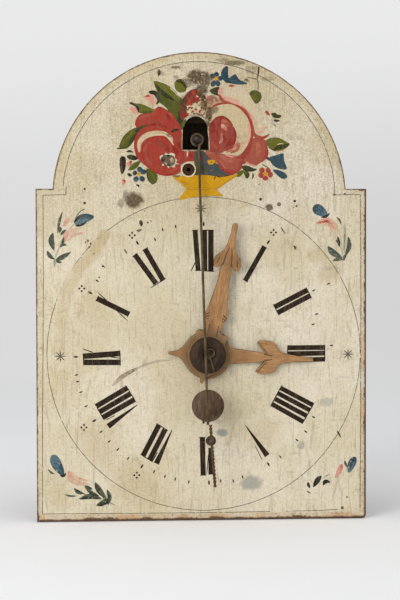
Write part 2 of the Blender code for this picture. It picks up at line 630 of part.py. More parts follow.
def build_intermediate(wood, brass, iron):
    """Intermediate arbor with its lantern pinion and contrate wheel."""
    place = (VERGE_X, 0, INTERMEDIATE_Z)
    pinion_low, pinion_high = GREAT_FRONT - WHEEL_GAP, GREAT_BACK + WHEEL_GAP
    turned("intermediate_arbor",
           [(FRONT_PLATE_FRONT + SEAT_GAP, FRONT_PLATE_BACK + SEAT_GAP, TRAIN_PIVOT),
            (FRONT_PLATE_BACK + SEAT_GAP, pinion_high + PINION_DISC + SEAT_GAP, PINION_ARBOR),
            (pinion_high + PINION_DISC + SEAT_GAP, REAR_PLATE_FRONT - SEAT_GAP, INTERMEDIATE_ARBOR),
            (REAR_PLATE_FRONT - SEAT_GAP, REAR_PLATE_BACK - SEAT_GAP, TRAIN_PIVOT)], iron, place)
    lantern_pinion("intermediate_pinion", pinion_low, pinion_high, PIN_SHARE * TRAIN_MODULE,
                   math.atan2(-INTERMEDIATE_Z, -VERGE_X), PINION_ARBOR + RUN_GAP, wood, place, "Y")
    inner, outer = CONTRATE_RADIUS - CONTRATE_RING / 2, CONTRATE_RADIUS + CONTRATE_RING / 2
    base = CONTRATE_ROOT_Y + CONTRATE_WEB + WHEEL_GAP
    rows = [(outer, base, base), (outer, CONTRATE_ROOT_Y, CONTRATE_ROOT_Y - CONTRATE_TOOTH),
            (inner, CONTRATE_ROOT_Y, CONTRATE_ROOT_Y - CONTRATE_TOOTH),
            (inner, base - CONTRATE_WEB, base - CONTRATE_WEB)]
    loops = []
    for radius, root, tip in rows:
        loops.append([(radius * u, (root, tip)[k % 2], radius * v)
                      for k, (u, v) in enumerate(turn_points(circle(1, 2 * CONTRATE_TEETH), -math.pi / 2))])
    hub = INTERMEDIATE_ARBOR + RUN_GAP
    bore = [[(u, y, v) for u, v in circle(hub, 16)] for y in (base, base - CONTRATE_WEB)]
    toothed_ring("contrate_wheel", loops, bore, (0, 1, 0), brass, place)


def build_crown_wheel(wood, brass, iron):
    """Upright crown arbor with its lantern pinion and the crown wheel under the verge."""
    place = (VERGE_X, CROWN_Y, 0)
    top = potence_top()
    low = CROWN_PINION_Z - CONTRATE_RING / 2 - WHEEL_GAP
    high = CROWN_PINION_Z + CONTRATE_RING / 2 + WHEEL_GAP
    cock = CROWN_TIP_Z + SEAT_GAP
    turned("crown_arbor",
           [(top - POTENCE_HEIGHT + SEAT_GAP, top + SEAT_GAP, CROWN_PIVOT),
            (top + SEAT_GAP, cock - SEAT_GAP, CROWN_ARBOR),
            (cock - SEAT_GAP, cock + COCK_THICKNESS - SEAT_GAP, CROWN_PIVOT)], iron, place, "Z", 12)
    lantern_pinion("crown_pinion", low, high, CONTRATE_PIN_SHARE * TRAIN_MODULE, math.pi / 2,
                   CROWN_ARBOR + RUN_GAP, wood, place, "Z")
    inner, outer = CROWN_RADIUS - CROWN_RIM / 2, CROWN_RADIUS + CROWN_RIM / 2
    web = CROWN_BASE_Z + CONTRATE_WEB
    root = CROWN_TIP_Z - CROWN_TOOTH
    angles = []
    for k in range(CROWN_TEETH):
        start = 2 * math.pi * k / CROWN_TEETH
        angles += [(start, root), (start + 1.6 * math.pi / CROWN_TEETH, CROWN_TIP_Z)]
    loops = []
    for radius, level in ((outer, CROWN_BASE_Z), (outer, None), (inner, None), (inner, web)):
        loops.append([(radius * math.cos(angle), radius * math.sin(angle), z if level is None else level)
                      for angle, z in angles])
    hub = CROWN_ARBOR + RUN_GAP
    bore = [[(u, v, z) for u, v in circle(hub, 12)] for z in (CROWN_BASE_Z, web)]
    toothed_ring("crown_wheel", loops, bore, (0, 0, 1), brass, place)


def build_motion_work(brass):
    """Cannon pinion, minute wheel and hour wheel behind the shield."""
    profile = circle(CANNON_BORE, 16)
    extruded("cannon_pinion",
             [gear_outline(CANNON_TEETH, CANNON_MODULE, SPUR_TOOTH, -math.pi / 2), profile],
             CANNON_FRONT, CANNON_BACK, brass)
    ring("cannon_pipe", BOSS_FRONT + BOSS_THICKNESS / 3, CANNON_FRONT - SEAT_GAP, CANNON_BORE, CANNON_PIPE,
         brass)
    bore = circle(STUD_RADIUS + RUN_GAP, 16)
    place = (0, -MOTION_DISTANCE)
    gap_up = math.pi / 2 + math.pi / MINUTE_WHEEL_TEETH
    extruded("minute_wheel",
             [gear_outline(MINUTE_WHEEL_TEETH, CANNON_MODULE, SPUR_TOOTH, gap_up), bore],
             CANNON_FRONT, CANNON_BACK, brass, place)
    extruded("minute_pinion",
             [gear_outline(MINUTE_PINION_TEETH, HOUR_MODULE, SPUR_TOOTH, math.pi / 2), bore],
             HOUR_WHEEL_FRONT, CANNON_FRONT - SEAT_GAP, brass, place)
    gap_down = -math.pi / 2 + math.pi / HOUR_WHEEL_TEETH
    extruded("hour_wheel",
             [gear_outline(HOUR_WHEEL_TEETH, HOUR_MODULE, SPUR_TOOTH, gap_down), circle(HOUR_BORE, 16)],
             HOUR_WHEEL_FRONT, HOUR_WHEEL_BACK, brass)
    ring("hour_pipe", HOUR_HAND_FRONT, HOUR_WHEEL_FRONT - SEAT_GAP, HOUR_BORE, HOUR_PIPE, brass)


def hand_outline(tail, hub, hub_end, spine):
    """Both sides of a hand pointing up: a pointed tail, a round hub, then points (along, half width)."""
    side = [(-tail, HAND_TIP), (-(tail + 2 * hub) / 3, 0.13 * hub), (-1.04 * hub, 0.26 * hub)]
    side += [(v, u) for u, v in arc(hub, math.radians(-60), hub_end, 8)]
    side += spine
    return [(w, u) for u, w in side] + [(-w, u) for u, w in reversed(side)]


def build_hands(wood, dark, iron):
    """Hour hand, minute hand, the boss over them and its wire cotter."""
    k, w = HOUR_REACH / 77.4, HOUR_LOBE / 12.3
    base = 0.34 * HOUR_HUB
    spine = [(22.6 * k, 5.2 * w), (28.3 * k, 4.6 * w), (38.1 * k, 3.6 * w), (42.6 * k, 2.3 * w),
             (39 * k, 6.2 * w), (36.6 * k, 9.2 * w), (35.7 * k, 10.6 * w), (37.5 * k, 11.8 * w),
             (42 * k, HOUR_LOBE), (46.4 * k, 11.7 * w), (49.3 * k, 10 * w), (50.5 * k, 7.3 * w),
             (52.3 * k, 4.8 * w), (55.5 * k, 3.7 * w), (61 * k, 2.8 * w), (66.7 * k, 2 * w),
             (72.4 * k, 1.7 * w), (HOUR_REACH, 1.3 * w)]
    outline = hand_outline(HOUR_TAIL, HOUR_HUB, math.acos(base / HOUR_HUB), spine)
    extruded("hour_hand", [turn_points(outline, HOUR_REST), circle(HOUR_PIPE + RUN_GAP, 20)],
             HOUR_HAND_FRONT, HOUR_HAND_BACK, wood)
    k, w = MINUTE_REACH / 97.4, MINUTE_LOBE / 10.2
    spine = [(1.06 * MINUTE_HUB, 0.82 * MINUTE_HUB), (1.19 * MINUTE_HUB, 0.67 * MINUTE_HUB), (17.3 * k, 5.8 * w),
             (21 * k, 5.9 * w), (25.3 * k, 6.6 * w), (27.7 * k, 8.3 * w), (31 * k, 7.8 * w), (34 * k, 6.9 * w),
             (40 * k, 6.1 * w), (52 * k, 4.5 * w), (63 * k, 4.1 * w), (67.2 * k, 3.2 * w), (65 * k, 5 * w),
             (63.3 * k, 6.9 * w), (63.6 * k, 8.8 * w), (65.4 * k, 9.9 * w), (68.1 * k, MINUTE_LOBE),
             (71.6 * k, 9.4 * w), (74.2 * k, 6.6 * w), (77.5 * k, 4.1 * w), (82 * k, 2.8 * w),
             (89 * k, 2 * w), (95.5 * k, 2.1 * w), (MINUTE_REACH, HAND_TIP)]
    outline = hand_outline(MINUTE_TAIL, MINUTE_HUB, math.radians(42), spine)
    extruded("minute_hand", [turn_points(outline, MINUTE_REST), circle(CANNON_PIPE + RUN_GAP, 20)],
             MINUTE_HAND_FRONT, MINUTE_HAND_BACK, wood)
    bore = CANNON_PIPE + RUN_GAP
    rim = BOSS_THICKNESS / 4
    profile = [(BOSS_BACK, bore), (BOSS_BACK, BOSS_RADIUS), (BOSS_FRONT + 2 * rim, BOSS_RADIUS),
               (BOSS_FRONT + rim / 2, BOSS_RADIUS - rim), (BOSS_FRONT, BOSS_RADIUS - 2.5 * rim),
               (BOSS_FRONT, bore + rim), (BOSS_FRONT + rim, bore)]
    mesh_object("hand_boss", turned_mesh(profile, 28, "Y", True), dark)
    eye = [(COTTER_X + u, COTTER_Y, COTTER_Z + v)
           for u, v in arc(COTTER_LOOP, math.radians(-110), math.radians(205), 14)]
    foot = (COTTER_X + 0.9 * COTTER_LOOP, COTTER_Y, -COTTER_LEG)
    wire("hand_cotter", [*reversed(eye), foot], COTTER_WIRE, iron, sides=6)


def build_pendulum(wood, red, iron):
    """Verge with its pallets, the wire rod, the bob with its wedge, and the twisted tail with its bead."""
    place = (VERGE_X, 0, VERGE_Z)
    knob_front = SHIELD_FRONT + VERGE_KNOB_INSET
    knob_back = knob_front + VERGE_KNOB_LENGTH
    verge = turned("verge",
                   [(EYE_Y - 2 * ROD_RADIUS, knob_front, ROD_EYE - ROD_RADIUS - RUN_GAP),
                    (knob_front, knob_back, VERGE_KNOB_RADIUS),
                    (knob_back, REAR_PLATE_FRONT - SEAT_GAP, VERGE_RADIUS),
                    (REAR_PLATE_FRONT - SEAT_GAP, REAR_PLATE_BACK - SEAT_GAP, TRAIN_PIVOT)], iron, place)
    upright = [verge]
    for side, name in ((-1, "front"), (1, "rear")):
        bm = bmesh.new()
        size = Matrix.Diagonal((PALLET_THICKNESS, PALLET_WIDTH, PALLET_LENGTH, 1))
        turn = Matrix.Rotation(side * PALLET_SPREAD, 4, "Y")
        drop = Matrix.Translation((0, CROWN_Y + side * CROWN_RADIUS, 0))
        hang = Matrix.Translation((0, 0, -PALLET_LENGTH / 2))
        bmesh.ops.create_cube(bm, size=1, matrix=drop @ turn @ hang @ size)
        pallet = mesh_object(name + "_pallet", bm, iron, place)
        combine(verge, pallet, "UNION")
        upright.append(pallet)
    eye = [(u, EYE_Y, v) for u, v in arc(ROD_EYE, math.radians(245), math.radians(-65), 12)]
    rod = [(1.6 * ROD_SIDE, EYE_Y, -WINDOW_BELOW_VERGE), (ROD_SIDE, ROD_AT_HAND, -HAND_DROP),
           (ROD_SIDE, LEAN_Y - ROD_END * math.sin(ROD_LEAN), -ROD_END * math.cos(ROD_LEAN))]
    upright.append(wire("pendulum_rod", eye + rod, ROD_RADIUS, iron, place))
    leaning = build_bob(wood, red, place) + build_tail(red, iron, place)
    for obj in upright:
        obj.rotation_euler = (0, -PENDULUM_REST, 0)
    for obj in leaning:
        obj.location.y = LEAN_Y
        obj.rotation_euler = (-ROD_LEAN, -PENDULUM_REST, 0)


def build_bob(wood, red, place):
    """The lens-shaped bob, bored for the rod and for the wedge that grips it."""
    half, edge = BOB_THICKNESS / 2, BOB_EDGE / 2
    profile = [(-half, 0), (-0.86 * half, 0.5 * BOB_RADIUS), (-edge, BOB_RADIUS), (edge, BOB_RADIUS),
               (0.86 * half, 0.5 * BOB_RADIUS), (half, 0)]
    bm = turned_mesh(profile, 24, "Y", False)
    bmesh.ops.translate(bm, verts=bm.verts, vec=(BOB_SIDE, 0, -BOB_DROP))
    bob = mesh_object("pendulum_bob", bm, red, place)
    low = -BOB_DROP - BOB_RADIUS - WEDGE_HEAD
    top = -BOB_DROP + BOB_RADIUS + WEDGE_HEAD
    wedge_x = ROD_SIDE - ROD_RADIUS - 3 * RUN_GAP - WEDGE_RADIUS - WEDGE_WALL
    wedge_top = low + WEDGE_HEAD + WEDGE_LENGTH
    bores = {"bob_bore": (ROD_SIDE, ROD_RADIUS + RUN_GAP, top),
             "bob_wedge_bore": (wedge_x, WEDGE_RADIUS + RUN_GAP, wedge_top)}
    pieces = [bob]
    for name, (x, radius, end) in bores.items():
        cutter = turned(name, [(low, end, radius)], red, place, "Z", 10)
        bmesh_shift(cutter, (x, 0, 0))
        combine(bob, cutter, "DIFFERENCE")
        pieces.append(cutter)
    wedge = turned("bob_wedge", [(low, wedge_top - SEAT_GAP, WEDGE_RADIUS)], wood, place, "Z", 10)
    bmesh_shift(wedge, (wedge_x, 0, 0))
    return pieces + [wedge]


def build_tail(red, iron, place):
    """The twisted wire under the bob and the rating bead on it."""
    bm = bmesh.new()
    rows = []
    for step in range(TAIL_STEPS + 1):
        drop = Matrix.Translation((0, 0, -TAIL_LENGTH * step / TAIL_STEPS))
        twist = Matrix.Rotation(TAIL_TWIST * step / TAIL_STEPS, 4, "Z")
        oval = Matrix.Diagonal((1, 0.62, 1, 1))
        verts = bmesh.ops.create_circle(bm, cap_ends=step in (0, TAIL_STEPS), segments=10,
                                        radius=TAIL_RADIUS, matrix=drop @ twist @ oval)["verts"]
        rows.append(list({edge for vert in verts for edge in vert.link_edges}))
    for one, two in zip(rows, rows[1:]):
        bmesh.ops.bridge_loops(bm, edges=one + two)
    lean = Matrix.Rotation(-TAIL_LEAN, 4, "Y")
    root = Matrix.Translation((ROD_SIDE + TAIL_SIDE, 0, -TAIL_TOP))
    bmesh.ops.transform(bm, matrix=root @ lean, verts=bm.verts)
    tail = mesh_object("pendulum_tail", bm, iron, place)
    half = BEAD_THICKNESS / 2
    profile = [(-half, 0), (-half, 0.7 * BEAD_RADIUS), (-0.5 * half, BEAD_RADIUS),
               (0.5 * half, BEAD_RADIUS), (half, 0.7 * BEAD_RADIUS), (half, 0)]
    bm = turned_mesh(profile, 16, "Y", False)
    bmesh.ops.translate(bm, verts=bm.verts, vec=(BEAD_SIDE, 0, -BEAD_DROP))
    bmesh.ops.transform(bm, matrix=root @ lean, verts=bm.verts)
    bead = mesh_object("rating_bead", bm, red, place)
    low, top = -BEAD_DROP - 2 * BEAD_RADIUS, -BEAD_DROP + 2 * BEAD_RADIUS
    bore = TAIL_RADIUS + RUN_GAP
    bm = turned_mesh([(low, 0), (low, bore), (top, bore), (top, 0)], 12, "Z", False)
    bmesh.ops.transform(bm, matrix=root @ lean, verts=bm.verts)
    cutter = mesh_object("bead_bore", bm, red, place)
    combine(bead, cutter, "DIFFERENCE")
    return [tail, bead, cutter]


def bmesh_shift(obj, shift):
    """Move a mesh inside its object, so that its origin stays on the joint's axis."""
    obj.data.transform(Matrix.Translation(shift))


def build_doors(wood, dark, iron):
    """Side doors on upright hinge rods, each with a turned knob."""
    front = BOARD_FRONT + SEAT_GAP
    low, high = FLOOR_Z + SEAT_GAP, CEILING_Z - SEAT_GAP
    half = DOOR_THICKNESS / 2
    for side, hand in ((-1, "left"), (1, "right")):
        x = CASE_CENTRE_X + side * DOOR_X
        leaf = [(-half, front - HINGE_Y), (half, front - HINGE_Y), *arc(half, 0, math.pi, 8)]
        extruded(hand + "_door", [leaf, circle(HINGE_ROD_RADIUS + RUN_GAP, 12)], low, high, wood,
                 (x, HINGE_Y), "Z")
        span = (FLOOR_Z - BOARD_THICKNESS, CEILING_Z + BOARD_THICKNESS)
        turned(hand + "_hinge_rod", [(*span, HINGE_ROD_RADIUS)], iron, (x, HINGE_Y, 0), "Z", 12)
        face = half + SEAT_GAP
        profile = [(face, 0), (face, 0.5 * KNOB_RADIUS), (face + 0.35 * KNOB_LENGTH, 0.45 * KNOB_RADIUS),
                   (face + 0.6 * KNOB_LENGTH, KNOB_RADIUS), (face + 0.85 * KNOB_LENGTH, KNOB_RADIUS),
                   (face + KNOB_LENGTH, 0.5 * KNOB_RADIUS), (face + KNOB_LENGTH, 0)]
        bm = turned_mesh([(side * place, radius) for place, radius in profile], 16, "X", False)
        bmesh.ops.translate(bm, verts=bm.verts,
                            vec=(0, front + 2.4 * KNOB_RADIUS - HINGE_Y, (low + high) / 2))
        mesh_object(hand + "_door_knob", bm, dark, (x, HINGE_Y, 0))


def main():
    """Build the whole clock."""
    clear_scene()
    pale = make_material("pale_wood", (0.62, 0.52, 0.36), 0.6)
    spruce = make_material("case_wood", (0.42, 0.29, 0.17), 0.65)
    carved = make_material("carved_wood", (0.45, 0.23, 0.1), 0.55)
    dark = make_material("dark_wood", (0.09, 0.045, 0.03), 0.5)
    red = make_material("red_brown_paint", (0.2, 0.06, 0.04), 0.45)
    brass = make_material("brass", (0.75, 0.55, 0.25), 0.35, 1)
    iron = make_material("iron", (0.16, 0.15, 0.14), 0.5, 1)
    build_shield(pale, dark)
    build_boards(spruce, iron)
    build_plates(spruce, brass, iron)
    build_crown_bearings(spruce, brass)
    build_great_wheel(spruce, brass, iron)
    build_intermediate(spruce, brass, iron)
    build_crown_wheel(spruce, brass, iron)
    build_motion_work(brass)
    build_hands(carved, dark, iron)
    build_pendulum(dark, red, iron)
    build_doors(spruce, dark, iron)


main()
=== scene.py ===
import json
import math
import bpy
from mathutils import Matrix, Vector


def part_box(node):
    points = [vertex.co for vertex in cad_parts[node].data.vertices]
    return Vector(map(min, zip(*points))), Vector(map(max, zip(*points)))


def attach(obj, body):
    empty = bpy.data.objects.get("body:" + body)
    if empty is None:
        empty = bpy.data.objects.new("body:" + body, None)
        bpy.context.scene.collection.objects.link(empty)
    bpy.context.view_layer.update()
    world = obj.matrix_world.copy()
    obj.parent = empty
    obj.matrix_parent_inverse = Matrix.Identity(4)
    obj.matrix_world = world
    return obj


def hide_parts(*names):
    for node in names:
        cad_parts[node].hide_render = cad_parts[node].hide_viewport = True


bl_info = {
    "name": "Painted Shield Clock",
    "version": (1, 0, 0),
    "blender": (4, 5, 0),
    "location": "View3D > Sidebar > Clock",
    "description": "Dresses the packed shield clock in its lacquer, painting, carving and metalwork",
    "category": "Object",
}

from functools import partial

import bmesh
import bpy
from bpy.props import FloatProperty, FloatVectorProperty, PointerProperty
from mathutils import Matrix, Vector

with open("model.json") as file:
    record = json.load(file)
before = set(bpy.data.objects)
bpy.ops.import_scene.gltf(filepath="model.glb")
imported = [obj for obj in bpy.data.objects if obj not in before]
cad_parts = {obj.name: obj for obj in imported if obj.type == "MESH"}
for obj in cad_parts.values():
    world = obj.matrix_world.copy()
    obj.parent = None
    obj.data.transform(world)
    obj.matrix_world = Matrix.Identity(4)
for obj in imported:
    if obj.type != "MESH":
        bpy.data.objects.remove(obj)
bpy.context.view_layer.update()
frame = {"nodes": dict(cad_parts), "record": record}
MM = 0.001

# The shield, in millimetres: x and z from the hands' axis, y from the wall
BOARD_LOW, BOARD_HIGH = (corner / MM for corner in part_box("shield_board"))
FRONT = BOARD_LOW.y
SHOULDER_Z = 120.1
ARCH_X, ARCH_Z, ARCH_RADIUS = -4.8, 112.2, 106.6
PLUG_X, PLUG_Z = -13.1, 133.9
VERGE_X, VERGE_Z = -6.9, 155.3
LEAN_Y = -133.084
PENDULUM_REST = math.radians(1.55)
ROD_LEAN = math.radians(4.2519)
TAIL_LEAN = math.radians(2.4)

# The pendulum, hung from the verge: the wire's eye and bend, the bob, the tail and its bead
EYE_Y, EYE_RADIUS = -128.7, 4
ROD_TOP, ROD_BEND, ROD_FOOT = (0.96, EYE_Y, -7.8), (0.6, -137.4, -58.053), (0.6, 0, -205.0)
BOB_PLACE, BOB_HALF, BOB_RADIUS = (1.1, 0, -191.4), 4.5, 11.5
TAIL_PLACE, TAIL_LENGTH = (2.4, 0, -205.3), 44.1
BEAD_PLACE, BEAD_HALF, BEAD_RADIUS, BEAD_TURN = (-0.5, 0, -11), 2.8, 3.6, math.radians(-14)

# Edges stay sharp this near the hands' axis on the shield, near the plug, and near the axis on the hands
AXIS_CLEAR, PLUG_CLEAR, HAND_CLEAR = 20, 42, 8.5

# The white ring round the plug, and the cotter's wire with its eye
RING_RADIUS, RING_HALF = 5.0, 0.42
COTTER_WIRE, COTTER_OUT = 0.5, 0.8
COTTER_EYE_X, COTTER_EYE_Z, COTTER_EYE_RADIUS = 1.5, 1.9, 2.8
COTTER_LEG = ((1.4, -2.0), (2.4, -4.6), (4.02, -11.1))

# The dial as it is painted, a little off the hands' axis
DIAL_X, DIAL_Z, DIAL_RADIUS = -1.7, 0.3, 113.9

# The photograph's camera, in millimetres and degrees, its focal length in pixels, and the scale on the front
CAMERA = (-82.3, -1327.0, 76.3)
YAW, PITCH, ROLL = (math.radians(angle) for angle in (3.69, -1.75, -0.11))
FOCAL, LENS, SENSOR = 1659.3, 99.56, 36.0
PHOTO_MIDDLE = (200, 300)
PAINT_Y = -127.0
PIXEL = 0.7256
BAR_GAIN = 1.13


def camera_axes():
    """The directions to the photograph's right, to its top and into it."""
    ahead = (math.sin(YAW) * math.cos(PITCH), math.cos(YAW) * math.cos(PITCH), math.sin(PITCH))
    right = (math.cos(YAW), -math.sin(YAW), 0.0)
    up = (right[1] * ahead[2] - right[2] * ahead[1], right[2] * ahead[0] - right[0] * ahead[2],
          right[0] * ahead[1] - right[1] * ahead[0])
    side = [r * math.cos(ROLL) + u * math.sin(ROLL) for r, u in zip(right, up)]
    top = [u * math.cos(ROLL) - r * math.sin(ROLL) for r, u in zip(right, up)]
    return side, top, ahead


SIDE, TOP, AHEAD = camera_axes()


def on_board(across, down):
    """The spot on the shield's front, x and z in millimetres, that a pixel of the photograph shows."""
    right, up = (across - PHOTO_MIDDLE[0]) / FOCAL, (PHOTO_MIDDLE[1] - down) / FOCAL
    x, y, z = (a + right * s + up * t for a, s, t in zip(AHEAD, SIDE, TOP))
    far = (PAINT_Y - CAMERA[1]) / y
    return round(CAMERA[0] + far * x, 1), round(CAMERA[2] + far * z, 1)


def on_boards(pixels):
    """The spots that several pixels show."""
    return [on_board(*pixel) for pixel in pixels]


def across_board(pixels):
    """A length on the shield's front, in millimetres, of so many pixels."""
    return round(pixels * PIXEL, 1)


def measured(kind, layer, half, tint, shade, *pixels):
    """One stroke of paint, measured on the photograph in pixels, for the brush."""
    return kind, layer, round(half * PIXEL, 2), tint, shade, on_boards(pixels)


leaf, petal, line = (partial(measured, kind) for kind in ("leaf", "petal", "line"))


def blob(layer, tint, shade, *pixels):
    """A filled patch inside its points."""
    return measured("blob", layer, 0, tint, shade, *pixels)


def dot(layer, half, tint, shade, *pixel):
    """A round touch of the brush."""
    return measured("dot", layer, half, tint, shade, pixel)


def patches(*rows):
    """Soft patches: a spot and its half width and half height in pixels, and its strength."""
    return [(*on_board(x, y), across_board(wide), across_board(tall), power)
            for x, y, wide, tall, power in rows]


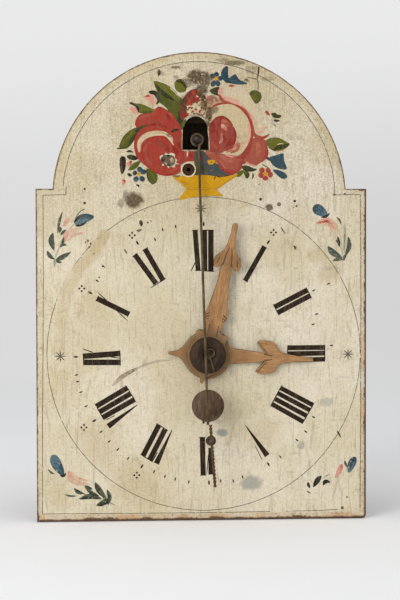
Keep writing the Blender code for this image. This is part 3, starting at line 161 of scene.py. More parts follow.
# The painting, as measured on the photograph: layer, half width, two pigments, then the points
BOUQUET = (
    # leaves under the roses
    petal(1, 3.4, "night_green", "dark_leaf", (182, 107), (181, 117), (177, 127)),
    blob(0, "leaf", "dark_leaf", (157, 91), (157, 100), (163, 105), (168, 110), (170, 118), (172, 131),
         (180.4, 131), (185, 124), (187, 113), (184.6, 103), (180, 97), (170, 94)),
    blob(1, "pale_leaf", "leaf", (153.8, 81.6), (161, 82.4), (168.6, 86), (176, 92), (180, 100),
         (174, 102), (165, 98), (158, 92.6)),
    leaf(2, 2.4, "dark_leaf", "night_green", (154.6, 83.4), (163, 93.4), (176, 101.4)),
    line(2, 0.5, "white", "pale_leaf", (170, 87.6), (176, 93.4), (180, 99)),
    blob(1, "pale_leaf", "leaf", (174.6, 82.6), (178, 80.4), (183, 82.6), (186.4, 88), (185, 91.6),
         (179.6, 92.4), (175.4, 89)),
    petal(2, 2.0, "dark_leaf", "ink", (176, 80.8), (182, 81.6), (186.6, 88.4)),
    blob(1, "pale_leaf", "leaf", (131, 103.6), (141, 104), (150, 107.6), (157.4, 111.6), (148, 113.2),
         (138.4, 112.6), (137, 108)),
    leaf(2, 1.5, "dark_leaf", "leaf", (139, 112.2), (148, 112.4), (157, 111.6)),
    petal(2, 1.2, "ink", "dark_leaf", (129.4, 102.8), (132.6, 103.8), (136.6, 106.4)),
    blob(1, "leaf", "dark_leaf", (119.4, 147.6), (122.6, 138), (130, 130.4), (141, 125.6), (147.4, 124.2),
         (138.6, 131.4), (134.4, 140), (128, 147.4)),
    leaf(2, 2.6, "pale_leaf", "leaf", (121, 146), (126.6, 136.6), (137, 128.6)),
    leaf(2, 1.6, "dark_leaf", "dark_leaf", (127.4, 146.8), (133, 138.4), (144, 126)),
    line(2, 0.6, "ink", "dark_leaf", (116.8, 148.5), (121, 148.4), (127.6, 148)),
    blob(1, "pale_leaf", "leaf", (264.6, 142), (270, 138), (278, 137.6), (285, 141), (289.6, 144.2),
         (285, 148.8), (276, 150.4), (269, 147)),
    petal(2, 2.5, "dark_leaf", "dark_leaf", (274, 149.4), (281, 147), (289, 144.4)),
    line(2, 0.5, "ink", "ochre", (268, 147.2), (276, 151), (284.6, 149.4)),
    line(2, 0.5, "pale", "pale_leaf", (277, 144.6), (281, 143.6), (284.6, 144)),
    blob(1, "leaf", "dark_leaf", (147, 168.6), (152, 170.6), (157.2, 174.6), (157, 181), (153, 184.4),
         (148.6, 180.6), (146.6, 174)),
    leaf(2, 1.5, "pale_leaf", "leaf", (149, 171), (153.4, 175), (155.6, 182)),
    line(2, 0.5, "ink", "dark_leaf", (146.6, 170), (148.2, 179.6), (153, 184.6)),
    leaf(1, 2.8, "leaf", "pale_leaf", (128, 170.4), (134.4, 166), (141, 160.4)),
    petal(1, 2.6, "dark_leaf", "ink", (127, 156.4), (132.6, 157.6), (138, 158.6)),
    leaf(1, 1.1, "dark_leaf", "ink", (126, 152), (129.6, 151.2), (133.6, 152.4)),
    petal(1, 1.5, "dark_leaf", "ink", (127.6, 173.6), (129.6, 175), (132, 175.6)),
    blob(1, "dark_leaf", "slate", (241.6, 166.6), (247, 165.6), (253, 168), (257, 169.4), (252, 171.6),
         (245, 171)),
    petal(2, 2.5, "leaf", "pale_leaf", (236.6, 176.4), (240, 173.4), (244, 170.6)),
    petal(2, 2.6, "leaf", "dark_leaf", (244.4, 171.4), (247, 174.6), (246.8, 178.6)),
    petal(2, 0.8, "dark_leaf", "ink", (252.6, 172.8), (253, 176), (252.4, 179)),
    blob(0, "leaf", "dark_leaf", (249, 97), (250.4, 91.6), (255.6, 90.2), (260.6, 93), (261.4, 98.6),
         (257.4, 103.4), (252, 102.4)),
    petal(1, 1.5, "pale_leaf", "leaf", (252, 95), (254.6, 98.6), (255.4, 101.6)),
    blob(0, "dark_leaf", "slate", (209.6, 90.6), (214.6, 87.6), (219.6, 87.4), (219.8, 95.4),
         (213.4, 94.4)),
    # right rose, outer petals
    blob(1, "pale", "petal", (221, 100.4), (219.8, 92), (223, 85.6), (230, 83.6), (240, 85), (247, 90.6),
         (252, 99), (257.6, 108), (261, 118), (263.4, 128), (259, 132.6), (253.6, 130), (250, 119),
         (244, 110), (234, 104.4), (226, 101.6)),
    petal(2, 2.6, "salmon", "pale", (221.4, 87.4), (220.8, 93.6), (226, 100)),
    petal(2, 3.0, "salmon", "pale", (223.6, 97.6), (233.6, 101.2), (243, 107.4), (250.6, 117)),
    petal(2, 2.3, "salmon", "pale", (247.6, 112.6), (253, 119.6), (256, 128), (257.4, 134)),
    petal(2, 1.3, "pink", "salmon", (228.6, 86), (232, 85.8), (235.4, 86.8)),
    petal(3, 2.0, "blush", "salmon", (219.2, 94.2), (221.6, 99.2), (228, 102.2), (236, 105)),
    petal(4, 1.2, "heart", "pink", (219.4, 95), (222.2, 100.4), (229, 103), (238, 106.2)),
    petal(3, 2.0, "blush", "salmon", (235, 104.4), (244.4, 110.4), (250.4, 119.8), (253.4, 130)),
    petal(4, 1.2, "rose_red", "heart", (236, 105), (244.6, 111.4), (250.6, 121), (253.6, 131)),
    blob(1, "heart", "rose_red", (208.8, 141), (216, 146), (224, 152), (236, 154), (246, 148), (251, 140),
         (257, 138), (260, 146), (252, 158), (244, 164), (234, 164), (222, 160), (210, 152)),
    petal(2, 1.2, "white", "petal", (256, 127), (260.6, 125.6), (264, 126)),
    petal(2, 1.4, "petal", "salmon", (256, 130), (261, 128.6), (268, 127)),
    petal(2, 1.2, "salmon", "white", (256.6, 133), (263, 131.6), (270, 131.4)),
    petal(4, 1.8, "pink", "rose_red", (252.4, 124), (254, 134), (262, 138), (269.8, 134)),
    blob(1, "tan", "flake", (206.6, 107), (206.4, 99), (210.6, 95), (216, 96), (220.6, 100.6), (222, 104),
         (214, 106.4), (209.6, 110)),
    petal(2, 2.6, "blush", "flake", (207, 100), (211, 98), (217.6, 99.4)),
    petal(3, 1.7, "salmon", "flake", (208, 104.6), (213, 101), (219.6, 100.6)),
    blob(2, "pink", "rose_red", (253, 138.6), (260, 138.6), (266, 141), (267.4, 149), (266, 156),
         (262, 161.4), (255, 166), (248, 163.4), (243.6, 160), (245, 153.6), (250, 147)),
    petal(3, 3.0, "blush", "pink", (257, 142), (259, 150), (253, 160)),
    petal(3, 1.8, "heart", "rose_red", (266.2, 145), (266.4, 155), (261, 162.4)),
    petal(3, 1.5, "rose_red", "heart", (252, 142.6), (248.4, 151.6), (244, 158.4)),
    petal(3, 0.8, "salmon", "blush", (245.6, 161.4), (250, 164.4), (256.6, 165.6)),
    blob(2, "pink", "rose_red", (203.6, 153.4), (211, 148.4), (217.6, 151.4), (219.6, 157.6),
         (218.6, 163), (212, 160.4), (206, 156.6)),
    petal(3, 1.6, "blush", "pink", (206, 153), (211.6, 152), (216, 154.6)),
    petal(3, 1.6, "rose_red", "heart", (213.6, 150), (217.6, 155), (217.6, 161.6)),
    blob(4, "pink", "rose_red", (217, 152.6), (221.6, 151), (228, 154), (236, 158), (242, 159),
         (241.6, 167.6), (236.4, 173), (229.4, 175.2), (223, 172), (218, 165), (216.6, 158)),
    petal(5, 2.4, "blush", "pink", (220.6, 155.4), (228, 160), (238, 160)),
    petal(5, 2.8, "heart", "rose_red", (219, 163), (226, 171.4), (236, 171.6)),
    petal(5, 1.5, "deep_red", "heart", (221.6, 169), (228, 174), (236.6, 172.4)),
    petal(5, 1.8, "heart", "rose_red", (240.6, 160.6), (240.4, 167), (236, 172)),
    petal(5, 1.0, "blush", "pink", (219.4, 160), (224.6, 167), (233, 169.4)),
    # right rose, cream ring and heart
    blob(5, "petal", "pale", (207.6, 128), (209, 116), (214, 108.6), (222, 104.4), (231, 104.4),
         (240, 108.4), (247, 116), (250.6, 127), (250, 139), (245, 149), (239, 155), (230, 155),
         (218, 152), (210, 144)),
    petal(6, 2.2, "petal", "tan", (243.4, 122), (244.6, 136), (240.6, 147), (233, 153)),
    petal(6, 1.5, "salmon", "petal", (248.2, 120), (249.6, 131), (247.2, 142), (240.6, 151.8)),
    petal(6, 1.1, "rose_red", "pink", (209.6, 111), (214.6, 105.8), (222, 103.4), (231, 103.6),
         (240, 107.6)),
    petal(6, 1.2, "rose_red", "heart", (234, 104.4), (242.4, 109.6), (249.4, 119.4), (251.6, 131)),
    petal(6, 1.2, "rose_red", "heart", (251.6, 125), (251.6, 138), (246.6, 149), (240, 156)),
    petal(6, 0.8, "salmon", "pale", (249.4, 127), (249.4, 138), (244.6, 148)),
    petal(6, 1.7, "petal", "blush", (236.6, 122), (239, 136), (235, 147.6), (226, 152.6)),
    petal(6, 1.6, "blush", "pink", (240, 143), (236.6, 149.8), (230, 153)),
    petal(6, 2.4, "flake", "petal", (209.6, 117), (213.6, 110), (223, 107)),
    blob(6, "heart", "smudge", (208.6, 138), (213, 143.4), (219, 148.6), (224, 151.8), (219, 153),
         (212, 152.2), (208.6, 150)),
    blob(7, "heart", "pink", (208.7, 136), (209, 126), (214.4, 118.8), (222.6, 116.8), (229, 120.4),
         (233.4, 127), (235.6, 135), (234.6, 142), (231.6, 148), (227, 150.6), (220, 149.8), (213, 146.6),
         (209, 143)),
    petal(8, 1.0, "deep_red", "heart", (212, 121.6), (217.6, 117.4), (224, 117.2), (230, 121.6),
         (234, 129)),
    petal(8, 1.2, "deep_red", "heart", (233.6, 127), (235.6, 136), (232.4, 146.4), (226.6, 150.4)),
    petal(8, 1.1, "rose_red", "heart", (214, 144), (220.6, 149), (228, 151)),
    petal(8, 3.6, "deep_red", "heart", (211.8, 122), (213, 131), (211, 141)),
    petal(8, 3.2, "blush", "heart", (219, 122), (225.4, 123.4), (230.4, 129.4)),
    petal(8, 2.2, "salmon", "blush", (220.6, 125.6), (223.6, 126.8), (227, 131)),
    petal(8, 2.6, "heart", "deep_red", (231.4, 132), (231, 141), (225, 147.4)),
    petal(9, 1.3, "deep_red", "heart", (220.6, 118), (219.6, 125), (221, 131)),
    petal(9, 1.7, "blush", "salmon", (221.4, 132.6), (222, 138), (219.4, 143.6)),
    petal(9, 1.2, "deep_red", "heart", (222.6, 134.6), (225, 141), (222, 146)),
    petal(9, 1.2, "deep_red", "heart", (216.4, 130), (217.4, 136), (215.6, 142)),
    *[dot(9, 0.5, "deep_red", "smudge", x, y) for x, y in ((225, 124.4), (227.6, 127), (223.2, 128.8),
         (229, 131), (226, 132.2), (221.6, 122.4), (230.6, 126.4))],
    petal(8, 1.3, "pink", "rose_red", (211, 141), (215.4, 146.6), (222, 151)),
    petal(8, 0.8, "salmon", "blush", (224.6, 154.6), (232.6, 156.8), (241, 155.4)),
    # left rose
    blob(2, "rose_red", "deep_red", (135.6, 126), (136.6, 118.6), (141, 114), (151, 112.8),
         (158.6, 106.6), (167, 110), (174.6, 116.6), (177.4, 124), (176, 132), (160, 131), (146, 134)),
    petal(3, 1.6, "pink", "rose_red", (139, 118.6), (148, 115), (158, 113)),
    petal(3, 2.4, "deep_red", "rose_red", (166, 114), (172, 119.6), (174.6, 127)),
    petal(3, 1.4, "pink", "rose_red", (168, 112.6), (172.6, 116.6), (175.4, 122)),
    petal(3, 1.8, "rose_red", "heart", (138, 123), (148, 121.6), (160, 120)),
    blob(3, "rose_red", "deep_red", (134, 146), (136, 135), (144, 127), (156, 125.6), (167, 128),
         (177, 131), (182, 133), (182, 150.4), (195.4, 150.6), (196.4, 160.6), (187.8, 161.4), (181, 165),
         (180.6, 171.6), (174, 175.2), (164, 175.8), (154, 172.4), (145, 165.4), (137, 157.6)),
    petal(4, 1.1, "deep_red", "heart", (146, 125.8), (157, 124.2), (168, 127.6), (176, 131)),
    petal(4, 2.0, "heart", "rose_red", (137.4, 136.6), (144.6, 129.6), (154, 128)),
    petal(4, 2.4, "heart", "deep_red", (177, 134), (178.6, 143), (180.4, 152)),
    petal(8, 1.5, "dark_leaf", "leaf", (134.6, 132.4), (140, 128), (147.4, 124.4)),
    measured("petal", 5, 2.6, "petal", "pale", (139.4, 152.4), (139.4, 143), (146, 135.8), (157, 133.2),
         (166.6, 135), (173.6, 145)),
    petal(6, 1.4, "petal", "tan", (146, 134.4), (157, 132), (168, 134.6)),
    petal(6, 1.3, "flake", "pale", (166, 134.4), (170.6, 137), (173, 141)),
    blob(6, "rose_red", "deep_red", (141, 152), (143.6, 144.4), (150.6, 138.2), (161, 136.6),
         (168.4, 140), (174.6, 147.6), (180.4, 158), (179, 168), (170, 174.6), (158, 173.4),
         (147.6, 166)),
    petal(7, 1.7, "pink", "rose_red", (143.4, 152), (147.6, 144), (156, 140)),
    petal(7, 2.8, "heart", "deep_red", (156, 141.6), (163.6, 145.4), (170.6, 152)),
    petal(7, 2.2, "heart", "rose_red", (148, 150), (150.4, 158.6), (157.6, 166)),
    petal(7, 2.2, "deep_red", "rose_red", (172.6, 146), (177.6, 154), (180.6, 164)),
    petal(7, 1.6, "pink", "rose_red", (146, 157), (150.6, 165), (160, 171)),
    petal(7, 1.6, "rose_red", "pink", (161, 170), (170.6, 171.6), (178.6, 167)),
    petal(7, 2.0, "deep_red", "heart", (189, 153.6), (192.4, 157), (194, 160.4)),
    petal(7, 1.5, "deep_red", "heart", (182.6, 153), (184, 158), (182.4, 164)),
    petal(7, 1.3, "dark_leaf", "ink", (171, 132.4), (174.6, 130), (179, 129.6)),
    blob(8, "white", "flake", (159.4, 157.6), (161.6, 154.6), (164, 155), (165.4, 152.6), (168.4, 154),
         (171.4, 152.6), (175, 154.4), (175, 158), (177.4, 160), (176.6, 162.4), (180.6, 164.2),
         (175.6, 164.8), (174.4, 167.6), (170.6, 166.6), (168.4, 168.4), (166, 165.6), (162.4, 165.8),
         (162, 162)),
    blob(9, "smudge", "ink", (160.8, 158.4), (164.6, 155.2), (169.4, 154.8), (173.8, 156.6), (175.4, 161),
         (173.6, 165), (168.4, 166.4), (163.2, 164)),
    petal(10, 1.7, "ink", "smudge", (161.6, 160.4), (163.6, 159.4), (165.8, 157.4)),
    petal(10, 1.2, "ink", "smudge", (167, 155.6), (169.4, 156.4), (170.4, 159)),
    petal(10, 1.0, "smudge", "ink", (166.6, 162), (168.6, 163.4), (169, 166)),
    petal(10, 1.5, "tan", "smudge", (170, 158.6), (172.6, 161.4), (172.4, 164.6)),
    petal(10, 0.7, "petal", "flake", (171.6, 157.6), (172.6, 159.4), (174.4, 160)),
    petal(10, 0.6, "petal", "flake", (164.6, 162.6), (166, 163.6), (166.2, 165)),
    petal(8, 0.8, "white", "salmon", (187.4, 150), (187.4, 153.4), (186.9, 157.6)),
    # bud over the window, worn to the ground
    blob(2, "deep_red", "smudge", (179.6, 108), (183, 98.6), (188.6, 91.6), (195, 88.8), (202, 91),
         (206, 98), (206.6, 108), (203, 116), (196, 113.6), (189, 116.4), (184, 120), (180.4, 117)),
    petal(3, 2.2, "rose_red", "heart", (192.4, 90.4), (194.6, 95), (196.4, 100)),
    petal(3, 2.6, "deep_red", "dark_leaf", (188, 94), (184.6, 103), (183, 113)),
    petal(4, 2.0, "dark_leaf", "deep_red", (185.4, 97.4), (182.4, 104), (181.4, 111)),
    petal(4, 1.5, "deep_red", "dark_leaf", (196.6, 90.6), (199.8, 94.6), (203.4, 98.6)),
    petal(3, 2.2, "rose_red", "deep_red", (189.6, 98), (188.6, 104), (186.4, 109)),
    blob(3, "petal", "flake", (186.6, 108), (189.6, 104.6), (194, 103), (198, 100.4), (203, 101),
         (205, 107), (203, 114.6), (197, 113), (191.6, 114.8), (187.4, 114.6)),
    *[petal(5, r * .9, "ink", "smudge", (x - 1.1, y + .5 * s), (x, y), (x + 1.2, y - .3 * s)) for x, y, r,
         s in ((191.8, 108.1, 1.2, 1), (196.8, 102.6, 1.2, -1), (201.8, 107.6, 1.1, 2), (187.9, 109.8, .8,
         0), (197.9, 93.1, 1.3, -2), (205.4, 90.4, 1.0, 1), (203, 98.6, 1.1, -1), (205.8, 106.4, 1.0, 2),
         (194, 113.4, .9, 1), (199.6, 112, 1.1, -1), (199.4, 105.2, .6, 1), (206.8, 116.6, 1.0, 2),
         (201.6, 95.4, .8, -2))],
    *[petal(5, r, "white", "petal", (x - 1.2, y - .4 * s), (x, y), (x + 1.4, y + .6 * s)) for x, y, r,
         s in ((189.6, 111.6, .9, 1), (193.8, 106.2, 1.0, -1), (198.6, 108.6, 1.0, 2), (202.4, 103.6, .7,
         -2), (187.6, 106.6, .6, 1), (203.8, 111.4, .7, 1), (197.4, 96.4, .8, 1), (200.4, 98.6, .7, -1),
         (199.6, 90.4, .7, 2), (203.4, 93.4, .6, 1))],
    *[petal(6, r, "heart", "rose_red", (x - 1.5, y + .8 * s), (x, y), (x + 1.5, y + .2 * s)) for x, y, r,
         s in ((187.4, 114, 1.3, -1), (191.2, 104.4, 1.2, 1), (196, 109.6, 1.1, -1), (200.8, 110.4, .9,
         1), (192.8, 111.4, 1.0, 2), (203.4, 108.8, .8, -2), (198.6, 101, 1.0, 1), (189.4, 107.6, .9,
         2))],
    blob(2, "rose_red", "deep_red", (175, 120), (180.8, 127), (180.8, 140), (175, 140), (172, 130)),
    petal(4, 1.1, "scratch", "flake", (184, 119.6), (191, 115.6), (199, 115), (206, 119)),
    # drape, bowl
    blob(4, "slate", "dark_leaf", (195.4, 150.4), (203, 150.8), (207.5, 156), (213.5, 161), (222, 167.5),
         (234, 175), (222, 177), (207, 175.4), (195, 176.6), (194.6, 170), (194.4, 161)),
    petal(5, 1.9, "deep_red", "slate", (199, 152.6), (201, 158), (203.6, 163)),
    petal(5, 1.9, "leaf", "dark_leaf", (195.4, 163), (196.6, 169), (196.4, 175.8)),
    petal(5, 1.6, "slate", "blue", (205, 163), (215, 169), (228, 175)),
    petal(5, 1.3, "dark_leaf", "smudge", (200, 165), (203.6, 170), (208, 174.6)),
    petal(5, 0.9, "smudge", "ink", (217, 174.4), (225, 176), (233, 175.4)),
    blob(6, "yellow", "ochre", (207, 160.6), (210, 159.8), (215.2, 160.2), (213.6, 163.8), (209, 164.4)),
    dot(7, 0.7, "ink", "ochre", 211.6, 162),
    blob(5, "yellow", "ochre", (172, 175.8), (186, 175.8), (204, 174.8), (222, 176.8), (238.4, 174),
         (229, 181), (216, 189.4), (200, 190.6), (188, 189.6), (180, 183)),
    blob(5, "yellow", "ochre", (187.6, 188.2), (200, 187.4), (214, 188.2), (218.6, 192), (222.8, 196.4),
         (212, 196), (200, 196.6), (190, 197.8), (179.4, 199.8), (183.4, 193)),
    petal(6, 2.2, "ochre", "yellow", (181, 181), (187.5, 185), (192, 188)),
    line(6, 0.5, "ochre", "ochre", (186, 189), (200, 190), (214, 188.8)),
    line(6, 0.5, "ochre", "ochre", (214, 189.6), (226, 182.4), (238, 174.6)),
    petal(6, 0.7, "ink", "ochre", (214, 179.2), (215.4, 177), (217, 176.2)),
    petal(6, 0.7, "ink", "ochre", (217, 176.2), (219, 176.8), (220.6, 178.6)),
    petal(6, 1.1, "flake", "smudge", (173, 175.8), (177, 176.6), (180, 175.6)),
    # small flowers and buds
    *[petal(3, 2.5, "blue", "deep_blue", (216.2 + .25 * (x - 216.2), 78.6 + .25 * (y - 78.6)),
         (216.2 + .7 * (x - 216.2), 78.6 + .7 * (y - 78.6)), (x, y)) for x, y in ((210.4, 74.6),
         (216.8, 72), (222.6, 78.2), (219, 86.2), (211.6, 86.4))],
    dot(4, 2.0, "yellow", "ochre", 216.3, 78.6),
    petal(3, 3.6, "blue", "deep_blue", (226.6, 82), (224.6, 73.6), (227, 66.2)),
    petal(4, 1.2, "deep_blue", "blue", (226.6, 79), (226, 73), (227.4, 68.6)),
    blob(3, "blue", "deep_blue", (225.4, 80.6), (230, 77.4), (235.4, 74.4), (239, 79.4), (247.4, 83.6),
         (238, 84.6), (228, 82.8)),
    petal(4, 1.3, "blue", "deep_blue", (230, 80.6), (235.4, 78), (240, 81.4)),
    petal(4, 1.2, "deep_blue", "ink", (225.4, 80), (227, 81.6), (231, 82.6)),
    *[petal(3, r, a, b, (138.7 + .3 * (x - 138.7), 174.2 + .3 * (y - 174.2)), (138.7 + .7 * (x - 138.7),
         174.2 + .7 * (y - 174.2)), (x, y)) for x, y, r, a, b in ((132.6, 172.4, 2.5, "deep_blue",
         "slate"), (140.2, 166.8, 2.8, "blue", "deep_blue"), (146, 170.6, 2.6, "blue", "deep_blue"), (144,
         181.4, 2.6, "blue", "deep_blue"), (134.6, 181.8, 2.7, "blue", "pale_blue"))],
    dot(4, 1.8, "yellow", "ochre", 138.8, 174.2),
    dot(4, 0.9, "blue", "deep_blue", 137, 185),
    *[petal(3, 2.9, "rose_red", "pink", (265.5 + .3 * (x - 265.5), 174 + .3 * (y - 174)),
         (265.5 + .7 * (x - 265.5), 174 + .7 * (y - 174)), (x, y)) for x, y in ((260, 168),
         (269.4, 168.4), (273, 175.2), (265.4, 180.6), (258.4, 176))],
    dot(4, 2.1, "yellow", "ochre", 265.3, 174),
    blob(2, "blue", "slate", (269.6, 157.4), (277, 155), (283.2, 153.4), (284, 160), (286.6, 169),
         (278, 168.4), (272, 164)),
    petal(3, 1.5, "deep_blue", "slate", (266, 158), (269, 159), (272, 161.6)),
    blob(2, "blue", "deep_blue", (273, 170), (278, 170), (285, 173), (287.2, 177), (283, 179),
         (277, 175)),
    line(1, 0.5, "leaf", "leaf", (262, 164), (266, 166.5), (269, 168)),
    blob(2, "salmon", "pale", (144, 97), (149, 93.6), (155, 97), (156, 103.6), (152.4, 105.6),
         (148, 101.6)),
    petal(3, 0.9, "rose_red", "salmon", (144.6, 96.6), (148.6, 96), (152.6, 98.4)),
    petal(3, 2.2, "ink", "dark_leaf", (148.8, 92), (155.4, 93.4), (158.6, 100.4)),
    petal(3, 1.5, "slate", "dark_leaf", (156, 94), (159, 99), (156.4, 104.6)),
    blob(2, "salmon", "pale", (129.6, 108), (134, 106.6), (137.8, 109.6), (137.6, 113.2), (133, 113.8)),
    petal(3, 1.4, "deep_blue", "ink", (135.6, 105.6), (137.6, 108), (138.8, 112.2)),
    blob(2, "ink", "smudge", (120.4, 157), (125, 157), (126, 163), (124.8, 170.6), (121.6, 174),
         (119.6, 166)),
    petal(3, 1.4, "ink", "smudge", (121.6, 160), (121.2, 166), (122.4, 172)),
    petal(3, 1.9, "salmon", "rose_red", (126.8, 165.6), (129.6, 163.4), (131.4, 160.6)),
    blob(2, "salmon", "pale", (122, 179), (125.6, 179.6), (125.6, 183), (122.4, 186.4), (121.4, 183)),
    petal(3, 0.9, "rose_red", "salmon", (122.4, 180), (124.8, 181.4), (123, 185)),
    petal(2, 0.9, "ink", "ink", (138, 184.5), (138.6, 186), (139, 187)),
    petal(2, 1.5, "rose_red", "pink", (265.6, 110.8), (267.4, 113), (269.6, 115.4)),
    blob(3, "dark_leaf", "ink", (271, 113.6), (275.4, 112.8), (277, 114.4), (281.2, 115.2), (280, 117.6),
         (274.6, 118), (272.6, 116.4)),
    petal(3, 1.2, "dark_leaf", "ink", (273.6, 120), (276.4, 120.8), (279.6, 120.6)),
    petal(3, 0.6, "pale_green", "leaf", (272, 123.4), (274.4, 124.6), (276, 127)),
)

SPRAYS = (
    # upper left
    leaf(1, 2.0, "slate", "spray_green", (47, 250.6), (49.6, 255.6), (54.6, 259.6)),
    leaf(1, 2.5, "spray_green", "slate", (55.6, 260), (62, 257.4), (71, 252)),
    leaf(1, 2.9, "slate", "spray_green", (53, 232.6), (51.4, 241), (54, 250.6)),
    leaf(1, 1.3, "spray_green", "slate", (62.6, 211.4), (59.4, 221.5), (57.4, 234)),
    leaf(1, 1.6, "spray_green", "slate", (60.4, 226.6), (60.2, 229.4), (59, 233)),
    leaf(1, 1.6, "spray_green", "slate", (60.4, 247.6), (62.4, 244.6), (67, 245.4)),
    leaf(2, 1.2, "spray_green", "ink", (62, 246), (63, 241), (64, 237)),
    leaf(2, 1.5, "spray_green", "slate", (60.6, 235.6), (62.6, 232.6), (66, 229.6)),
    leaf(1, 1.3, "slate", "spray_green", (55.6, 260), (58, 261.6), (62, 262.6)),
    leaf(1, 1.1, "pale_green", "slate", (54.6, 258), (54.2, 263), (54.4, 268)),
    line(0, 0.7, "pale_green", "pale_green", (54.7, 260), (58, 250), (64.4, 236), (74.8, 223.3)),
    petal(1, 2.7, "salmon", "pale", (63.6, 242.6), (68, 232.6), (82.4, 228.2)),
    petal(2, 1.6, "pale", "salmon", (67, 241), (73, 235.4), (83, 232.6)),
    petal(1, 2.0, "salmon", "pale", (63.6, 226.4), (67, 220.4), (72, 217)),
    petal(2, 4.7, "pale_blue", "blue", (74.8, 223.8), (83, 218.6), (93.8, 216.6)),
    petal(3, 1.3, "ink", "slate", (74, 222.4), (78.5, 217.6), (85, 215)),
    petal(3, 1.2, "ink", "slate", (75.4, 226), (81, 225), (86.6, 222.4)),
    line(1, 0.4, "spray_green", "spray_green", (74.8, 218.7), (80.5, 211.2), (85.4, 208.8)),
    # upper right
    petal(2, 5.4, "blue", "pale_blue", (313.4, 206.4), (319, 210), (327.4, 215.4)),
    petal(3, 1.3, "ink", "slate", (321, 217.4), (326.4, 216), (329.6, 213)),
    petal(1, 3.0, "salmon", "pale", (316.4, 223.4), (328, 220.4), (335.4, 229), (336.4, 240)),
    petal(2, 1.2, "pale", "salmon", (319, 226), (328, 224.4), (332.6, 232)),
    leaf(1, 3.2, "spray_green", "slate", (327.6, 246), (333, 252.6), (342.4, 258)),
    leaf(1, 2.0, "spray_green", "spray_green", (332.6, 261), (338, 259), (343.4, 259.4)),
    leaf(1, 2.6, "slate", "spray_green", (348.4, 236.4), (349, 246), (345.4, 256)),
    leaf(2, 1.3, "ink", "spray_green", (335.6, 240), (338, 242), (340, 246)),
    leaf(1, 1.0, "spray_green", "spray_green", (336.4, 217), (339.4, 220), (341.4, 225)),
    leaf(1, 1.6, "pale_green", "pale", (343, 224.6), (345.8, 238), (344.6, 255)),
    leaf(1, 1.0, "pale_green", "spray_green", (345, 223), (344.4, 236), (343.6, 254)),
    leaf(2, 1.5, "spray_green", "ink", (337.6, 236), (338.6, 242), (339.4, 247)),
    leaf(2, 1.4, "spray_green", "slate", (346.6, 253), (344.6, 257), (343.6, 261)),
    petal(2, 1.2, "rose_red", "salmon", (318.4, 223), (328, 221.6), (334.6, 229)),
    line(0, 0.7, "pale_green", "pale_green", (343.5, 260), (341, 248), (335.6, 236)),
    # lower left
    petal(2, 5.2, "pale_blue", "blue", (52.6, 455), (56.6, 464), (63.6, 475.6)),
    petal(3, 1.2, "ink", "slate", (60, 475.4), (63.6, 476), (66, 473)),
    leaf(1, 1.0, "spray_green", "spray_green", (48, 469), (51, 472.4), (55, 474.2)),
    petal(1, 3.1, "salmon", "pale", (68.4, 471), (74, 481), (90.4, 484.8)),
    petal(2, 1.2, "pale", "salmon", (71.6, 471.6), (78, 478), (88.4, 480.8)),
    leaf(2, 2.9, "night_green", "spray_green", (95, 482), (99, 490), (106.4, 499)),
    leaf(2, 2.7, "night_green", "spray_green", (78.8, 499), (90, 496.4), (102, 498.4)),
    leaf(2, 2.7, "night_green", "spray_green", (96, 505.4), (103, 503), (110, 498)),
    leaf(2, 2.1, "night_green", "spray_green", (107, 489.4), (109.6, 497), (108, 505.4)),
    leaf(2, 2.0, "spray_green", "night_green", (74, 488.4), (78, 492), (84, 493.8)),
    leaf(1, 1.0, "spray_green", "spray_green", (64.6, 494.4), (70, 496), (77, 496)),
    leaf(2, 2.1, "spray_green", "night_green", (84.6, 485.6), (88, 488), (92.6, 489.2)),
    leaf(2, 1.9, "night_green", "spray_green", (86, 489), (92, 493), (99, 496)),
    leaf(2, 2.0, "night_green", "ink", (103, 497), (106.4, 501), (105.4, 505)),
    leaf(2, 1.6, "night_green", "spray_green", (100, 493), (104, 496.6), (107, 501)),
    leaf(1, 0.8, "spray_green", "pale_green", (106, 501), (110, 502.6), (115, 505)),
    line(0, 0.6, "spray_green", "pale_green", (74, 488), (84, 494), (96, 499), (106, 500)),
    # lower right, the most worn
    petal(2, 3.9, "blue", "pale_blue", (355.4, 457), (351.6, 464), (348.6, 472.6)),
    petal(3, 1.2, "deep_blue", "slate", (353.6, 459), (351, 464), (350, 470)),
    dot(4, 0.5, "white", "pale", 351, 461.4),
    dot(4, 0.5, "white", "pale", 348.8, 467.6),
    petal(3, 1.2, "slate", "pale_blue", (344.6, 460.6), (345.6, 464), (347.6, 467.4)),
    petal(1, 2.7, "salmon", "salmon", (342, 464), (339.6, 470), (335.4, 478)),
    petal(2, 1.2, "blush", "salmon", (341.8, 464.4), (341, 468), (339, 472)),
    leaf(2, 2.7, "ink", "night_green", (321.6, 475.6), (317.4, 480.4), (313, 487.4)),
    leaf(2, 2.1, "ink", "night_green", (323, 485.6), (325.4, 481.6), (330.6, 482.4)),
    leaf(1, 1.5, "spray_green", "ink", (308, 481.6), (308.4, 485), (310, 488.4)),
    leaf(1, 0.8, "pale_green", "spray_green", (330, 474), (326, 476), (322, 478.6)),
    leaf(1, 0.7, "smudge", "ink", (306.6, 491), (308.6, 492), (311, 493.6)),
)

